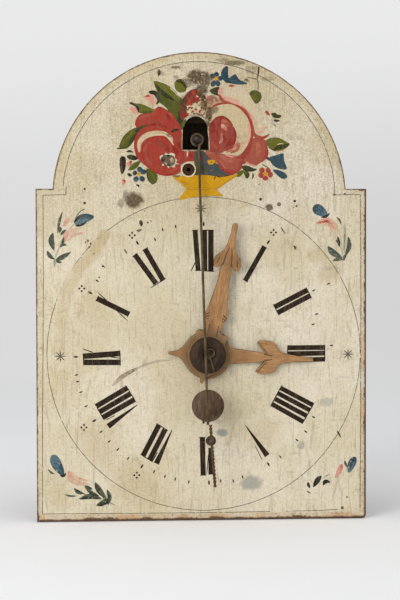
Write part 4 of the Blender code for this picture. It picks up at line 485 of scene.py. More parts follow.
MARKS = (
    petal(0, 2.3, "scratch", "flake", (112, 386), (120, 378.4), (129, 372.6), (140, 367)),
    petal(0, 1.2, "scratch", "scratch", (134, 370), (146, 364.4), (160, 360.9), (172, 360)),
    dot(0, 2.0, "flake", "ink", 279, 204.3),
    dot(0, 1.5, "ink", "flake", 260.6, 199.2),
    dot(0, 1.4, "ink", "flake", 294.8, 201),
    dot(0, 1.1, "flake", "ink", 296.6, 206),
    dot(0, 0.9, "flake", "scratch", 293.4, 207.6),
    dot(0, 1.1, "ink", "flake", 334.3, 194.6),
    dot(0, 1.2, "ink", "flake", 84.7, 189),
    dot(0, 1.4, "ink", "flake", 84.6, 203),
    dot(0, 0.7, "ink", "flake", 259, 184.5),
    dot(0, 0.8, "ink", "ink", 345, 193.6),
    dot(0, 0.9, "ink", "flake", 347, 497),
    dot(0, 1.5, "smudge", "ink", 342.4, 507.8),
    petal(0, 1.1, "ink", "flake", (294, 245.6), (295.2, 248), (296, 250)),
    petal(0, 0.7, "smudge", "flake", (281, 227), (283, 230.6), (285.6, 234)),
    petal(0, 0.8, "smudge", "flake", (124, 249), (126, 252), (127, 254)),
    dot(0, 0.9, "ink", "flake", 102.6, 266.4),
    dot(0, 0.8, "ink", "smudge", 99.2, 277.4),
    dot(0, 0.6, "smudge", "ink", 96.6, 281),
    dot(0, 1.3, "flake", "smudge", 88, 240.6),
    dot(0, 1.1, "smudge", "flake", 90.6, 243.6),
    dot(0, 0.8, "flake", "ink", 85.6, 242.4),
    dot(0, 1.0, "smudge", "flake", 89.4, 247),
    dot(0, 0.7, "flake", "ink", 94, 253.6),
    petal(0, 1.8, "smudge", "ink", (140.6, 220), (141, 223), (141.6, 226.4)),
    dot(0, 1.0, "ink", "flake", 147.6, 222.6),
    dot(0, 0.7, "smudge", "flake", 151, 221),
    petal(0, 1.3, "smudge", "flake", (136.6, 230.4), (139, 230.6), (142, 229)),
    dot(0, 0.7, "ink", "flake", 144.6, 211),
    petal(0, 0.8, "ink", "ink", (337, 430.6), (339, 434), (341, 437.6)),
    line(0, 0.9, "ink", "flake", (258.6, 66.4), (258.4, 72), (257.2, 79)),
    line(0, 0.5, "smudge", "flake", (257.2, 79), (258.2, 84), (257.8, 90.4)),
    line(0, 0.5, "smudge", "flake", (257.4, 79.4), (252, 78.2), (246.6, 77)),
    petal(0, 1.1, "flake", "smudge", (244, 80.6), (246.4, 79.4), (248, 80.6)),
    petal(0, 1.3, "smudge", "ink", (158.8, 69.4), (159.4, 72.4), (158.6, 76)),
    petal(1, 0.6, "scratch", "flake", (181.6, 150.2), (193, 150.5), (209.6, 150.2)),
    petal(1, 0.5, "scratch", "flake", (209.4, 150.6), (209.2, 140), (208.8, 129)),
    petal(1, 0.5, "flake", "scratch", (182, 150.4), (182, 140), (182.6, 129)),
)

# Bars of the numerals from end to end with both widths, and their hairlines with one
NUMERAL_BARS = [(*on_board(a, b), *on_board(c, d), *(across_board(wide * BAR_GAIN) for wide in widths))
                for a, b, c, d, *widths in (
                    (195.1, 230.2, 198.2, 270.4, 4.4, 4.4), (204, 230.2, 204.4, 270.6, 5.3, 5.3),
                    (210.9, 230.2, 210.9, 271.5, 4.8, 4.8), (135, 254.9, 155.7, 283.2, 4.6, 4.6),
                    (145.1, 249.1, 162.6, 279.5, 4.6, 4.6), (97.2, 298.5, 128.7, 314, 4.6, 4.6),
                    (83.4, 356.3, 120.1, 353.4, 5, 5), (83.4, 362.4, 120.1, 362.4, 5, 5),
                    (96.4, 406.3, 127.3, 387.9, 4.6, 4.6), (99.5, 412, 131, 393.4, 4.6, 4.6),
                    (102.6, 417.5, 134.5, 399.6, 4.6, 4.6), (108.1, 426.3, 137.3, 404.9, 5, 0.6),
                    (159.1, 424.6, 143.1, 455.6, 4.6, 4.6), (165.2, 429.2, 149.4, 460.2, 4.6, 4.6),
                    (172.1, 429.8, 156.3, 463.6, 0.6, 5), (202.3, 437.5, 203.2, 475.1, 4.6, 4.6),
                    (209.8, 447.6, 211.5, 474.5, 2.5, 5.5), (245.3, 425.2, 267.2, 455.6, 0.6, 5),
                    (280.4, 387.9, 313.1, 405.1, 4.2, 4.2), (278.1, 393.4, 310.2, 410.3, 4.2, 4.2),
                    (275.2, 398.8, 306.8, 416, 4.2, 4.2), (271.7, 404, 303.3, 421.7, 4.2, 4.2),
                    (287.8, 347.8, 324.9, 347.5, 4.4, 4.4), (287.8, 353.8, 324.9, 353, 4.4, 4.4),
                    (287, 360, 324.6, 359.2, 4.2, 4.2), (274.6, 307.1, 307.3, 290.1, 4.6, 4.6),
                    (277.7, 312.7, 310.4, 295.5, 4.6, 4.6), (264.3, 246.8, 245.3, 280.7, 4.4, 4.4),
                )]
NUMERAL_HAIRLINES = [(*on_board(a, b), *on_board(c, d), across_board(wide)) for a, b, c, d, wide in (
    (190.7, 271.5, 195.3, 262.3, 0.9), (150, 288.2, 166, 278.4, 0.8), (124, 249, 127, 252.6, 0.7),
    (97.7, 292.2, 127.6, 320.9, 0.9), (82.8, 349, 93, 352.4, 0.9), (110.4, 356.9, 120.1, 358.3, 0.9),
    (105.8, 420, 115, 415.4, 0.8), (151.7, 462.5, 157.4, 452.2, 0.9), (208.6, 453.3, 206.7, 474.5, 0.8),
    (255, 445, 262, 460, 0.7),
)]
SERIFS = ((1, 2), (0, 0), (3, 3), (4, 4), (5, 5), (6, 7), (8, 10), (12, 13),
          (15, 15), (18, 21), (22, 24), (25, 26), (27, 27))
HOUR_DASHES = on_boards((
    (137.3, 242.8), (90.3, 292.7), (268.3, 242.2), (94.3, 420.6), (141.9, 466.5), (268.3, 464.2),
    (209, 482.6), (203.6, 223.9), (75.9, 356.9),
))
DIAMONDS = on_boards((
    (132.2, 235.3), (81.7, 288.7), (273.5, 232.5), (84, 427.5), (136.8, 475.1),
))
STARS = on_boards((
    (60.4, 356.3), (201, 208.4), (348, 354.2),
))
MINUTE_TICKS = on_boards((
    (154, 471.7), (164.9, 476.3), (175.2, 479.1), (188.8, 482), (101.2, 431.7), (109.2, 441.5),
    (117.8, 449.3), (128.2, 458.3), (76.5, 375), (77.6, 381.6), (80.9, 392.1), (86, 406.3),
    (155.1, 239.4), (162.6, 229.6), (175.6, 226.5), (97.2, 280.7), (103.5, 266.3), (295.3, 248),
    (328.6, 283.6), (313.6, 290.4), (316.5, 314), (313, 324.3), (331.4, 345.5), (313.6, 417.2),
    (305.6, 431.5), (297, 440.1), (280.4, 456.8), (233.3, 480.9), (242.5, 476.9), (220.7, 480.9),
))

# Border line and the arch over it
BORDER_LINES = [on_boards(points) for points in (
    ((43, 195), (43.2, 300), (42.6, 420), (42.4, 514)),
    ((360.4, 195), (360.8, 300), (360.6, 420), (360, 508)),
    ((43, 195.2), (54, 195), (65.6, 194.6)),
    ((65.6, 194.6), (65.9, 191), (66.2, 186.4)),
    ((360.4, 194.4), (348, 194.6), (335, 195)),
    ((335, 195), (334.6, 191), (334.4, 186.4)),
    ((42.4, 514), (120, 513.4), (200, 512.6), (270, 511.6)),
    ((286, 511.2), (318, 510.4), (338, 509.4)),
)]
BORDER_X, BORDER_Z = on_board(199.5, 198.5)
BORDER_RADIUS = on_board(199.5, 61.5)[1] - BORDER_Z

# Stains by middle, radius and strength; smears by both ends, half width and strength
STAINS = [(*on_board(x, y), across_board(radius), power) for x, y, radius, power in (
    (200, 204, 20, 0.35), (330, 272, 14, 0.6), (95, 305, 26, 0.35), (100, 440, 30, 0.45),
    (130, 482, 26, 0.5), (60, 380, 14, 0.3), (300, 215, 18, 0.35), (150, 70, 30, 0.35),
    (330, 140, 26, 0.3), (205, 500, 36, 0.18), (150, 492, 24, 0.35), (318, 255, 12, 0.5),
    (325, 262, 8, 0.5), (250, 90, 24, 0.3), (290, 240, 20, 0.3), (240, 203, 16, 0.4), (58, 498, 16, 0.5),
    (262, 432, 18, 0.3),
)]
SMEARS = [(*on_board(a, b), *on_board(c, d), across_board(half), power) for a, b, c, d, half, power in (
    (104, 235, 93, 253, 8, 0.9), (96, 250, 78, 270, 9, 0.75), (80, 268, 67, 292, 9, 0.6),
    (69, 288, 60, 325, 8, 0.45), (60, 322, 57, 352, 8, 0.35),
)]
FLAKED = patches(
    (196, 77, 11, 9, 1), (204, 79, 9, 9, 0.95), (188, 82, 7, 6, 0.75), (202, 90, 8, 8, 0.9),
    (204, 102, 4.4, 10, 0.85), (209, 114, 3.8, 10, 0.95), (208, 124, 2.6, 6, 0.85),
    (213.6, 110, 6, 4.6, 0.6), (210, 102, 4, 4, 0.5), (234, 63, 13, 3, 0.75), (251, 70, 7, 5, 0.45),
    (222, 60, 8, 2, 0.5), (268, 79, 8, 3, 0.35), (160, 73, 5, 2.6, 0.4), (176, 67.4, 6, 1.8, 0.8),
    (206, 121, 2.6, 4, 0.5), (247, 80.6, 4, 1.6, 0.5), (176, 77, 3, 2, 0.5),
)
SMUDGED = patches(
    (134, 200.4, 11.6, 9, 0.95), (125.6, 196, 3.2, 7, 0.6), (121, 203.4, 4.4, 5, 0.5),
    (269.4, 207.6, 4.6, 4.2, 0.9), (158.4, 72.6, 1.3, 3.6, 0.8), (182.6, 105, 4.4, 11, 0.6),
    (189, 96, 6, 4.4, 0.4), (202, 94, 4, 6, 0.5),
)
GREYED = patches(
    (222, 432.6, 7.5, 4.4, 0.95), (251, 483, 12.5, 9, 0.75), (327, 402, 8, 5, 0.5),
    (301, 445.6, 4.4, 4.4, 0.6), (252, 268, 7, 9, 0.3), (330, 268, 12, 2.4, 0.3),
)

# Hands: stained bands and carved cuts; case: grain, knots and finishes
MINUTE_BANDS = ((70.0, 9.0, 0.5), (98.0, 8.0, 0.45), (18.0, 5.0, 0.3))
HOUR_BANDS = ((25.0, 11.0, 0.45), (-22.0, 9.0, 0.5))
LAYOUTS = {"back": "ZXY", "door": "ZYX", "shelf": "XYZ", "batten": "XZY"}
KNOTS = {
    "back_board": ((-36, 66, 5.5), (27, -40, 4.2)),
    "left_door": ((-70, 30, 4.2),),
    "right_door": ((-44, -52, 4.6),),
    "top_board": ((-38, -34, 3.6),),
}
MINUTE_CUTS = (
    (3.0, 66.4, 2.2, 73.5, 0.55), (2.2, 73.5, 0.9, 79.0, 0.45), (7.6, 66.4, 6.4, 71.0, 0.4),
    (5.2, 30.4, 8.2, 28.0, 0.55), (4.8, 28.2, 8.0, 26.6, 0.5), (5.2, 25.6, 7.6, 26.2, 0.45),
    (5.4, 18.4, 8.6, 16.4, 0.7), (3.2, 22.0, 3.4, 14.0, 0.35),
)
HOUR_CUTS = (
    (2.4, 41.8, 1.2, 47.0, 0.5), (10.4, 37.4, 6.4, 40.4, 0.4), (6.4, 40.4, 3.2, 43.4, 0.4),
)
CARRIED = {
    "back": ("back_board",),
    "door": ("left_door", "right_door"),
    "shelf": ("top_board", "bottom_board"),
    "batten": ("shield_batten_upper", "shield_batten_lower"),
    # Smoke-stained wood inside the case, darkened further as painted shade
    "smoked_upright": ("front_plate", "rear_plate", "crown_cock_post"),
    "smoked_across": ("potence", "rope_pulley", "intermediate_pinion", "crown_pinion"),
    "turned_wood": ("shield_peg_upper_left", "shield_peg_upper_right", "shield_peg_lower_left",
                    "shield_peg_lower_right", "left_door_knob", "right_door_knob", "bob_wedge"),
    "plug_wood": ("shield_plug",),
    "brass": ("great_bush_front", "great_bush_rear", "intermediate_bush_front", "intermediate_bush_rear",
              "verge_bush_rear", "minute_stud_collar", "crown_cock", "great_wheel",
              "ratchet_wheel", "contrate_wheel", "crown_wheel", "cannon_pinion", "minute_wheel",
              "minute_pinion", "hour_wheel", "hour_pipe"),
    # Dull brass darkened almost to black: painted shade on the front verge bush in the window and on the
    # cannon pipe
    "dull_brass": ("cannon_pipe", "verge_bush_front"),
    "iron": ("hanging_loop", "minute_stud", "left_hinge_rod", "right_hinge_rod", "click_pin", "click",
             "intermediate_arbor", "crown_arbor"),
    # Dark iron, darkened further as painted shade on the recessed verge knob
    "black_iron": ("great_arbor", "verge"),
}


# Settings

def length(label, text, millimetres):
    """A size that the user may change, shown in the scene's length unit."""
    return FloatProperty(name=label, description=text, default=millimetres * MM, min=0.0, unit="LENGTH",
                         precision=5)


def pigment(label, text, red, green, blue):
    """A colour that the user may change."""
    return FloatVectorProperty(name=label, description=text, default=(red, green, blue), size=3, min=0.0,
                               max=1.0, subtype="COLOR")


class CLOCK_PG_board(bpy.types.PropertyGroup):
    """The lacquered shield."""

    cream: pigment("Cream", "Lacquer of the dial", 0.655, 0.575, 0.41)
    pale: pigment("Pale cream", "Lighter clouds in the lacquer", 0.745, 0.675, 0.545)
    yellowed: pigment("Yellowed", "Varnish stains", 0.50, 0.40, 0.225)
    border: pigment("Border", "Worn lacquer outside the border line", 0.51, 0.385, 0.24)
    crack: pigment("Cracks", "Dirt in the cracks", 0.235, 0.175, 0.105)
    flaked: pigment("Flaked", "Brown ground under lost lacquer", 0.115, 0.075, 0.034)
    bare: pigment("Bare wood", "Old wood on the edges and the back", 0.30, 0.19, 0.10)
    amber: pigment("Amber", "Rubbed ground along the lower and right edges", 0.56, 0.325, 0.165)
    # Rim brown also serves as painted shade on the window's walls
    rim: pigment("Rim", "Dark brown of the handled edges", 0.085, 0.05, 0.028)
    greyed: pigment("Greyed", "Grey stains in the lacquer", 0.29, 0.29, 0.255)
    corner: length("Corner rounding", "How far the lower right corner is worn round", 2.6)
    edge: length("Edge rounding", "How far the shield's edges are worn round", 0.9)


class CLOCK_PG_paint(bpy.types.PropertyGroup):
    """Pigments of the painted flowers, lines and numerals."""

    rose_red: pigment("Rose red", "Left rose and small flowers", 0.335, 0.042, 0.026)
    deep_red: pigment("Deep red", "Shadows of the roses", 0.23, 0.022, 0.015)
    pink: pigment("Pink", "Right rose", 0.335, 0.078, 0.048)
    heart: pigment("Rose heart", "Heart of the right rose", 0.28, 0.048, 0.034)
    salmon: pigment("Salmon", "Light pink strokes", 0.63, 0.305, 0.235)
    blush: pigment("Blush", "Lit folds of the right rose", 0.405, 0.125, 0.08)
    petal: pigment("Petal", "Cream petals", 0.55, 0.44, 0.265)
    pale: pigment("Pale petal", "Lightest petals", 0.58, 0.485, 0.325)
    tan: pigment("Tan", "Shaded cream petals", 0.48, 0.31, 0.165)
    white: pigment("White", "White strokes", 0.66, 0.57, 0.40)
    leaf: pigment("Leaf", "Olive leaves", 0.08, 0.088, 0.014)
    pale_leaf: pigment("Pale leaf", "Lit side of the leaves", 0.122, 0.122, 0.016)
    dark_leaf: pigment("Dark leaf", "Shaded side of the leaves", 0.038, 0.043, 0.013)
    spray_green: pigment("Spray green", "Grass of the corner sprays", 0.095, 0.11, 0.072)
    night_green: pigment("Night green", "Darkest leaves", 0.022, 0.035, 0.02)
    pale_green: pigment("Pale green", "Faded stems", 0.42, 0.42, 0.30)
    slate: pigment("Slate", "Blue grey drape", 0.06, 0.07, 0.065)
    blue: pigment("Blue", "Blue flowers", 0.033, 0.07, 0.088)
    deep_blue: pigment("Deep blue", "Shadows of the blue flowers", 0.02, 0.038, 0.06)
    pale_blue: pigment("Pale blue", "Faded buds", 0.10, 0.165, 0.19)
    yellow: pigment("Bowl yellow", "Flower bowl", 0.57, 0.29, 0.008)
    ochre: pigment("Ochre", "Shadows of the bowl", 0.42, 0.22, 0.012)
    ink: pigment("Ink", "Numerals and outlines", 0.022, 0.014, 0.009)
    line: pigment("Line", "Thin border and dial lines", 0.12, 0.115, 0.085)
    flake: pigment("Flake", "Bare patches", 0.21, 0.15, 0.085)
    smudge: pigment("Smudge", "Dark patches", 0.13, 0.095, 0.065)
    scratch: pigment("Scratch", "Rubbed arc", 0.46, 0.385, 0.28)


class CLOCK_PG_works(bpy.types.PropertyGroup):
    """Hands, pendulum, case and movement."""

    hand: pigment("Hands", "Carved wood of the hands", 0.46, 0.245, 0.105)
    # Dark of the hands: dirt, and painted shade in the cuts, on the edges and round the hub
    hand_dark: pigment("Hands, dark", "Dirt on the hands", 0.20, 0.105, 0.045)
    turned: pigment("Turned wood", "Boss, pegs and knobs", 0.058, 0.034, 0.019)
    plug: pigment("Plug", "Turned plug in the shield", 0.05, 0.017, 0.005)
    bob: pigment("Bob", "Worn paint of the bob", 0.122, 0.073, 0.04)
    case: pigment("Case wood", "Old spruce", 0.30, 0.19, 0.10)
    # Smoke stain and painted shade of the plates inside the case
    smoked: pigment("Smoked wood", "Plates inside the case", 0.085, 0.052, 0.028)
    brass: pigment("Brass", "Old brass", 0.50, 0.34, 0.13)
    iron: pigment("Iron", "Dark wire and arbors", 0.17, 0.145, 0.12)
    wire: pigment("Wire", "Brown wire of the pendulum", 0.125, 0.085, 0.043)
    rust: pigment("Rust", "Rust on the tail", 0.115, 0.058, 0.033)
    hand_edge: length("Hand edge", "Carved bevel of the hands", 0.8)
    board_edge: length("Board edge", "Rounding of the case's edges", 0.7)
    rod: length("Rod radius", "Radius of the pendulum wire", 0.9)
    strand: length("Strand radius", "Radius of one strand of the twisted tail", 0.62)
    strand_pitch: length("Twist pitch", "Length of one full twist", 5.4)


class CLOCK_PG_stage(bpy.types.PropertyGroup):
    """Floor, light and background."""

    floor: pigment("Floor", "Pale floor", 0.95, 0.957, 0.972)
    horizon_left: pigment("Horizon, left", "Background at eye level", 0.708, 0.708, 0.708)
    horizon_right: pigment("Horizon, right", "Background at eye level", 0.655, 0.655, 0.655)
    above: pigment("Above", "Background overhead", 0.825, 0.825, 0.83)
    key: FloatProperty(name="Key power", description="Power of the soft key light", default=20.0, min=0.0)
    fill: FloatProperty(name="Fill", description="Strength of the even light all round", default=0.64,
                        min=0.0)
    top: FloatProperty(name="Overhead power", description="Power of the lamp over the floor", default=2.2,
                       min=0.0)


class CLOCK_PG_settings(bpy.types.PropertyGroup):
    """All settings of the clock."""

    board: PointerProperty(type=CLOCK_PG_board)
    paint: PointerProperty(type=CLOCK_PG_paint)
    works: PointerProperty(type=CLOCK_PG_works)
    stage: PointerProperty(type=CLOCK_PG_stage)


def settings():
    return bpy.context.scene.shield_clock


# Finishes

class Wire:
    """A shader socket that works in sums, so that 1 - mask adds its own nodes."""

    def __init__(self, finish, socket):
        self.finish, self.socket = finish, socket

    def math(self, operation, one, two=0.0):
        return self.finish.add("ShaderNodeMath", {"operation": operation}, {0: one, 1: two})

    def __add__(self, other):
        return self.math("ADD", self, other)

    def __sub__(self, other):
        return self.math("SUBTRACT", self, other)

    def __rsub__(self, other):
        return self.math("SUBTRACT", other, self)

    def __mul__(self, other):
        return self.math("MULTIPLY", self, other)

    def __truediv__(self, other):
        return self.math("DIVIDE", self, other)

    def __rtruediv__(self, other):
        return self.math("DIVIDE", other, self)

    def __pow__(self, other):
        return self.math("POWER", self, other)

    def cycle(self):
        return self.math("FRACT", self)

    def least(self, other):
        return self.math("MINIMUM", self, other)

    def most(self, other):
        return self.math("MAXIMUM", self, other)

    __radd__, __rmul__ = __add__, __mul__


class Finish:
    """One material, built from nodes on the piece's own coordinates in millimetres."""

    def __init__(self, name, tree=None):
        if tree is None:
            self.material = bpy.data.materials.new(name)
            self.material.use_nodes = True
            tree = self.material.node_tree
        self.tree = tree
        self.tree.nodes.clear()
        self.spot = None

    def add(self, kind, settings=None, sockets=None, output=0):
        """Adds any node: its settings are set first, then its sockets get values or links."""
        node = self.tree.nodes.new(kind)
        for key, value in (settings or {}).items():
            setattr(node, key, value)
        for key, value in (sockets or {}).items():
            if isinstance(value, Wire):
                self.tree.links.new(value.socket, node.inputs[key])
            elif node.inputs[key].type == "RGBA":
                node.inputs[key].default_value = (*value, 1.0)
            else:
                node.inputs[key].default_value = value
        return Wire(self, node.outputs[output]) if node.outputs else None

    def place(self):
        if self.spot is None:
            coordinates = self.add("ShaderNodeTexCoord", output="Object")
            self.spot = self.add("ShaderNodeMapping", None, {"Vector": coordinates, "Scale": (1 / MM,) * 3})
        return self.spot

    def axis(self, name):
        return self.add("ShaderNodeSeparateXYZ", None, {0: self.place()}, name)

    def grain_space(self, size, turn=(0, 0, 0), shift=(0, 0, 0)):
        """The piece's coordinates, turned, then divided by a size for each axis."""
        turned = self.add("ShaderNodeMapping", None, {"Vector": self.place(), "Rotation": turn,
                                                      "Location": shift})
        return self.add("ShaderNodeMapping", None, {"Vector": turned, "Scale": [1 / s for s in size]})

    def noise(self, size, detail=4.0, rough=0.55, turn=(0, 0, 0), shift=(0, 0, 0)):
        size = size if isinstance(size, (tuple, list)) else (size,) * 3
        return self.add("ShaderNodeTexNoise", None,
                        {"Vector": self.grain_space(size, turn, shift), "Scale": 1.0, "Detail": detail,
                         "Roughness": rough})

    def seams(self, size, wander=0.0, shift=(0, 0, 0)):
        """Distance to the nearest edge of irregular cells, in cells."""
        space = self.grain_space(size, shift=shift)
        if wander:
            drift = self.add("ShaderNodeTexNoise", None, {"Vector": space, "Scale": 1.3, "Detail": 3.0},
                             "Color")
            drift = self.add("ShaderNodeVectorMath", {"operation": "SCALE"}, {0: drift, "Scale": wander})
            space = self.add("ShaderNodeVectorMath", {"operation": "ADD"}, {0: space, 1: drift})
        return self.add("ShaderNodeTexVoronoi", {"feature": "DISTANCE_TO_EDGE"}, {"Vector": space,
                                                                                  "Scale": 1.0})

    def ramp(self, value, low, high, start=0.0, end=1.0):
        return self.add("ShaderNodeMapRange", {"interpolation_type": "SMOOTHSTEP"},
                        {0: value, 1: low, 2: high, 3: start, 4: end})

    def mix(self, share, one, two, blend="MIX"):
        return self.add("ShaderNodeMix", {"data_type": "RGBA", "blend_type": blend},
                        {0: share, 6: one, 7: two}, 2)

    def away(self, x, z, wide=1.0, tall=1.0):
        """Distance from a point on the dial, in millimetres, or in sizes if these are given."""
        across, up = (self.axis("X") - x) / wide, (self.axis("Z") - z) / tall
        return (across * across + up * up) ** 0.5

    def cut(self, across, up, x0, z0, x1, z1, half):
        """A soft line from one point to another, 1 in its middle."""
        x, z, run, rise = across - x0, up - z0, x1 - x0, z1 - z0
        share = ((x * run + z * rise) / (run * run + rise * rise)).most(0.0).least(1.0)
        x, z = x - share * run, z - share * rise
        return 1 - self.ramp((x * x + z * z) ** 0.5, half * 0.35, half)

    def worn(self, rows, ragged=1.6, grain=2.6):
        """Soft ragged patches, each given as x, z, half width, half height and strength."""
        rag = (self.noise(grain, 5, 0.66, shift=(3, 0, 6)) - 0.5) * ragged
        share = None
        for x, z, wide, tall, power in rows:
            patch = (1 - self.ramp(self.away(x, z, wide, tall) + rag, 0.55, 1.1)) * power
            share = patch if share is None else share.most(patch)
        return share

    def surface(self, colour, roughness, height=None, depth=0.1, metallic=0.0, specular=0.5):
        sockets = {"Base Color": colour, "Roughness": roughness, "Metallic": metallic,
                   "Specular IOR Level": specular}
        if height is not None:
            sockets["Normal"] = self.add("ShaderNodeBump", None, {"Distance": depth * MM, "Height": height})
        shader = self.add("ShaderNodeBsdfPrincipled", None, sockets)
        self.add("ShaderNodeOutputMaterial", None, {"Surface": shader})
        return self.material


def crazing(f):
    """Short upright splits along the grain and cross cracks, stronger in places and up in the arch."""
    high = f.ramp(f.axis("Z"), 70, 150)
    patch = f.ramp(f.noise(34, 3), 0.38, 0.64).most(high * 0.8)
    broken = f.ramp(f.noise((3, 10, 9), 3, shift=(2, 0, 9)), 0.42, 0.60)
    gaps = f.ramp(f.noise((5, 10, 4), 3, shift=(6, 0, 2)), 0.48, 0.60)
    splits = 1 - f.ramp(f.seams((4.8, 30, 95), 0.10), 0.0, 0.045)
    hairs = 1 - f.ramp(f.seams((1.9, 30, 42), 0.12, (7, 0, 1)), 0.0, 0.08)
    across = 1 - f.ramp(f.seams((22, 40, 4.4), 0.12, (3, 0, 5)), 0.0, 0.055)
    upright = (splits * broken * 0.85).most(hairs * (0.22 + patch * 0.45) * broken)
    return upright.most(across * gaps * (0.35 + patch * 0.4))


def tinged(f, share, colour, tinge):
    """The colour, multiplied by a tinge where the share is one."""
    return f.mix(share, colour, f.mix(1.0, colour, tinge, "MULTIPLY"))


def lacquer_ground(f):
    """Cream lacquer gone yellow and dirty, with painted shade to the left and towards the top: its colour
    without the cracks.
    """
    s = settings().board
    colour = f.mix(f.ramp(f.noise(55, 4), 0.36, 0.66), s.cream, s.pale)
    streak = f.noise((1.1, 20, 12), 4, 0.6)
    colour = f.mix(f.ramp(streak, 0.50, 0.80) * 0.40, colour, s.yellowed)
    mottle = f.noise(2.4, 5, 0.72, shift=(2, 0, 7))
    colour = tinged(f, f.ramp(mottle, 0.38, 0.72) * 0.5, colour, (0.84, 0.81, 0.76))
    # Painted shade: darker to the left of the axis, and darker towards the top except on the right
    right = f.ramp(f.axis("X"), 10, 100)
    colour = tinged(f, 1 - right * 0.85, colour, (0.93, 0.925, 0.885))
    colour = tinged(f, f.ramp(f.axis("Z"), 30, 165) * (1 - right * 0.85), colour, (0.87, 0.85, 0.82))
    blotch = f.noise(14, 5, 0.62, shift=(11, 0, 4))
    stain = None
    for x, z, size, power in STAINS:
        reach = f.away(x, z, size, size)
        spot = (1 - f.ramp(reach + (blotch - 0.5) * 1.6, 0.30, 1.15)) * power
        stain = spot if stain is None else stain.most(spot)
    across, up = f.axis("X") + (blotch - 0.5) * 9, f.axis("Z") + (blotch - 0.5) * 9
    for *ends, half, power in SMEARS:
        stain = stain.most(f.cut(across, up, *ends, half) * power)
    colour = f.mix(stain, colour, s.yellowed)
    grit = f.noise(0.95, 3, 0.6, shift=(7, 0, 3))
    zone = 0.45 + f.ramp(f.axis("Z"), 80, 140) * 0.7
    colour = tinged(f, f.ramp(grit, 0.52, 0.68) * zone, colour, (0.78, 0.76, 0.72))
    colour = tinged(f, f.ramp(grit, 0.48, 0.34) * zone, colour, (1.19, 1.2, 1.23))
    colour = f.mix(f.worn(GREYED, 0.9, 4.0), colour, s.greyed)
    specks = f.ramp(f.noise(1.3, 2, 0.5, shift=(5, 0, 8)), 0.66, 0.72)
    return f.mix(specks * 0.5, colour, s.crack)


def lost_paint(f, colour):
    """Patches where the colour has gone to a brown ground with dark and pale specks, and dark smudges."""
    s = settings().board
    speck = f.noise(1.5, 4, 0.62, shift=(4, 0, 4))
    ground = f.mix(f.ramp(speck, 0.60, 0.68), s.flaked, [c * 0.75 for c in s.pale])
    ground = f.mix(f.ramp(speck, 0.46, 0.39), ground, [c * 0.14 for c in s.flaked])
    colour = f.mix(f.worn(FLAKED, 1.3, 2.2), colour, ground)
    smudge = f.mix(f.ramp(speck, 0.40, 0.62), [c * 0.5 for c in s.flaked], [c * 1.15 for c in s.flaked])
    return f.mix(f.worn(SMUDGED, 0.9, 3.0), colour, smudge)


def shield_depth(f):
    """How far a point of the front lies inside the shield's outline, in millimetres."""
    x, z = f.axis("X"), f.axis("Z")
    square = (x - BOARD_LOW.x).least(BOARD_HIGH.x - x).least(z - BOARD_LOW.z).least(SHOULDER_Z - z)
    return square.most(ARCH_RADIUS - f.away(ARCH_X, ARCH_Z))


def board_lacquer():
    """The shield: lacquer, ochre outside the border line, bare wood on the worn edges and the back, painted
    shade on the window's walls.
    """
    f, s = Finish("board_lacquer"), settings().board
    colour = lacquer_ground(f)
    depth = shield_depth(f)
    wobble = f.noise(5, 4, 0.6, shift=(1, 0, 3)) - 0.5
    speckle = f.noise(1.9, 4, 0.68, shift=(9, 0, 2))
    rubbed = f.ramp(f.noise(11, 5, 0.66, shift=(3, 0, 8)), 0.47, 0.64)
    outside = 1 - f.ramp(depth + wobble * 1.5, 4.3, 5.4)
    low = 1 - f.ramp(f.axis("Z"), BOARD_LOW.z + 2, BOARD_LOW.z + 9)
    right = f.ramp(f.axis("X"), BOARD_HIGH.x - 9, BOARD_HIGH.x - 2)
    handled = low.most(right * (1 - f.ramp(f.axis("Z"), -30, 60) * 0.7))
    high = f.ramp(f.axis("Z"), SHOULDER_Z, SHOULDER_Z + 30)
    ochre = f.mix(high, s.border, [c * k for c, k in zip(s.border, (1.06, 1.16, 0.98))])
    outside = outside * (0.4 + handled.most(high) * 0.6)
    colour = f.mix(outside * (0.2 + f.ramp(speckle, 0.40, 0.62) * 0.5), colour, ochre)
    patchy = f.ramp(f.noise(16, 3, shift=(6, 0, 1)), 0.42, 0.58)
    colour = f.mix(outside * handled * patchy * 0.75, colour, s.amber)
    colour = f.mix(outside * rubbed * f.ramp(speckle, 0.42, 0.60) * 0.45, colour, [c * 1.15 for c in s.bare])
    colour = f.mix(outside * f.ramp(speckle, 0.57, 0.65) * 0.75, colour, s.crack)
    lines = crazing(f)
    colour = f.mix(lines * 0.5, colour, s.crack)
    colour = lost_paint(f, colour)
    wood, grain = fibres(f, s.bare, [c * 0.5 for c in s.bare], "ZXY", (12, BOARD_HIGH.y + 34),
                         ((-48, 58, 5.5), (40, -74, 4.5), (70, 30, 3.5)))
    reach = depth + wobble * 1.6 + (speckle - 0.5) * 2.4 + 0.02
    reach = reach - low.most(right * 0.8) * (0.7 + rubbed * 1.1)
    worn = 1 - f.ramp(reach, 0.35, 1.5)
    behind = f.ramp(f.axis("Y"), FRONT + 0.35, FRONT + 0.9)
    bare = worn.most(behind)
    colour = f.mix(bare, colour, wood)
    colour = f.mix((1 - f.ramp(reach, 0.2, 1.15)) * (1 - behind * 0.45) * 0.85, colour, s.rim)
    # Painted shade: the walls of the window round the verge made almost black with the rim brown
    window_wall_shade = behind * (1 - f.ramp(f.axis("Y"), BOARD_HIGH.y - 0.7, BOARD_HIGH.y - 0.3))
    window_wall_shade = window_wall_shade * (1 - f.ramp(f.away(VERGE_X, VERGE_Z), 20, 24))
    colour = f.mix(window_wall_shade * 0.9, colour, [c * 0.25 for c in s.rim])
    roughness = 0.48 + bare * 0.28 + lines * 0.15
    relief = 0.6 - lines * 0.30 - bare * 0.12 + grain * 0.10
    return f.surface(colour, roughness, relief, 0.20, specular=0.2)


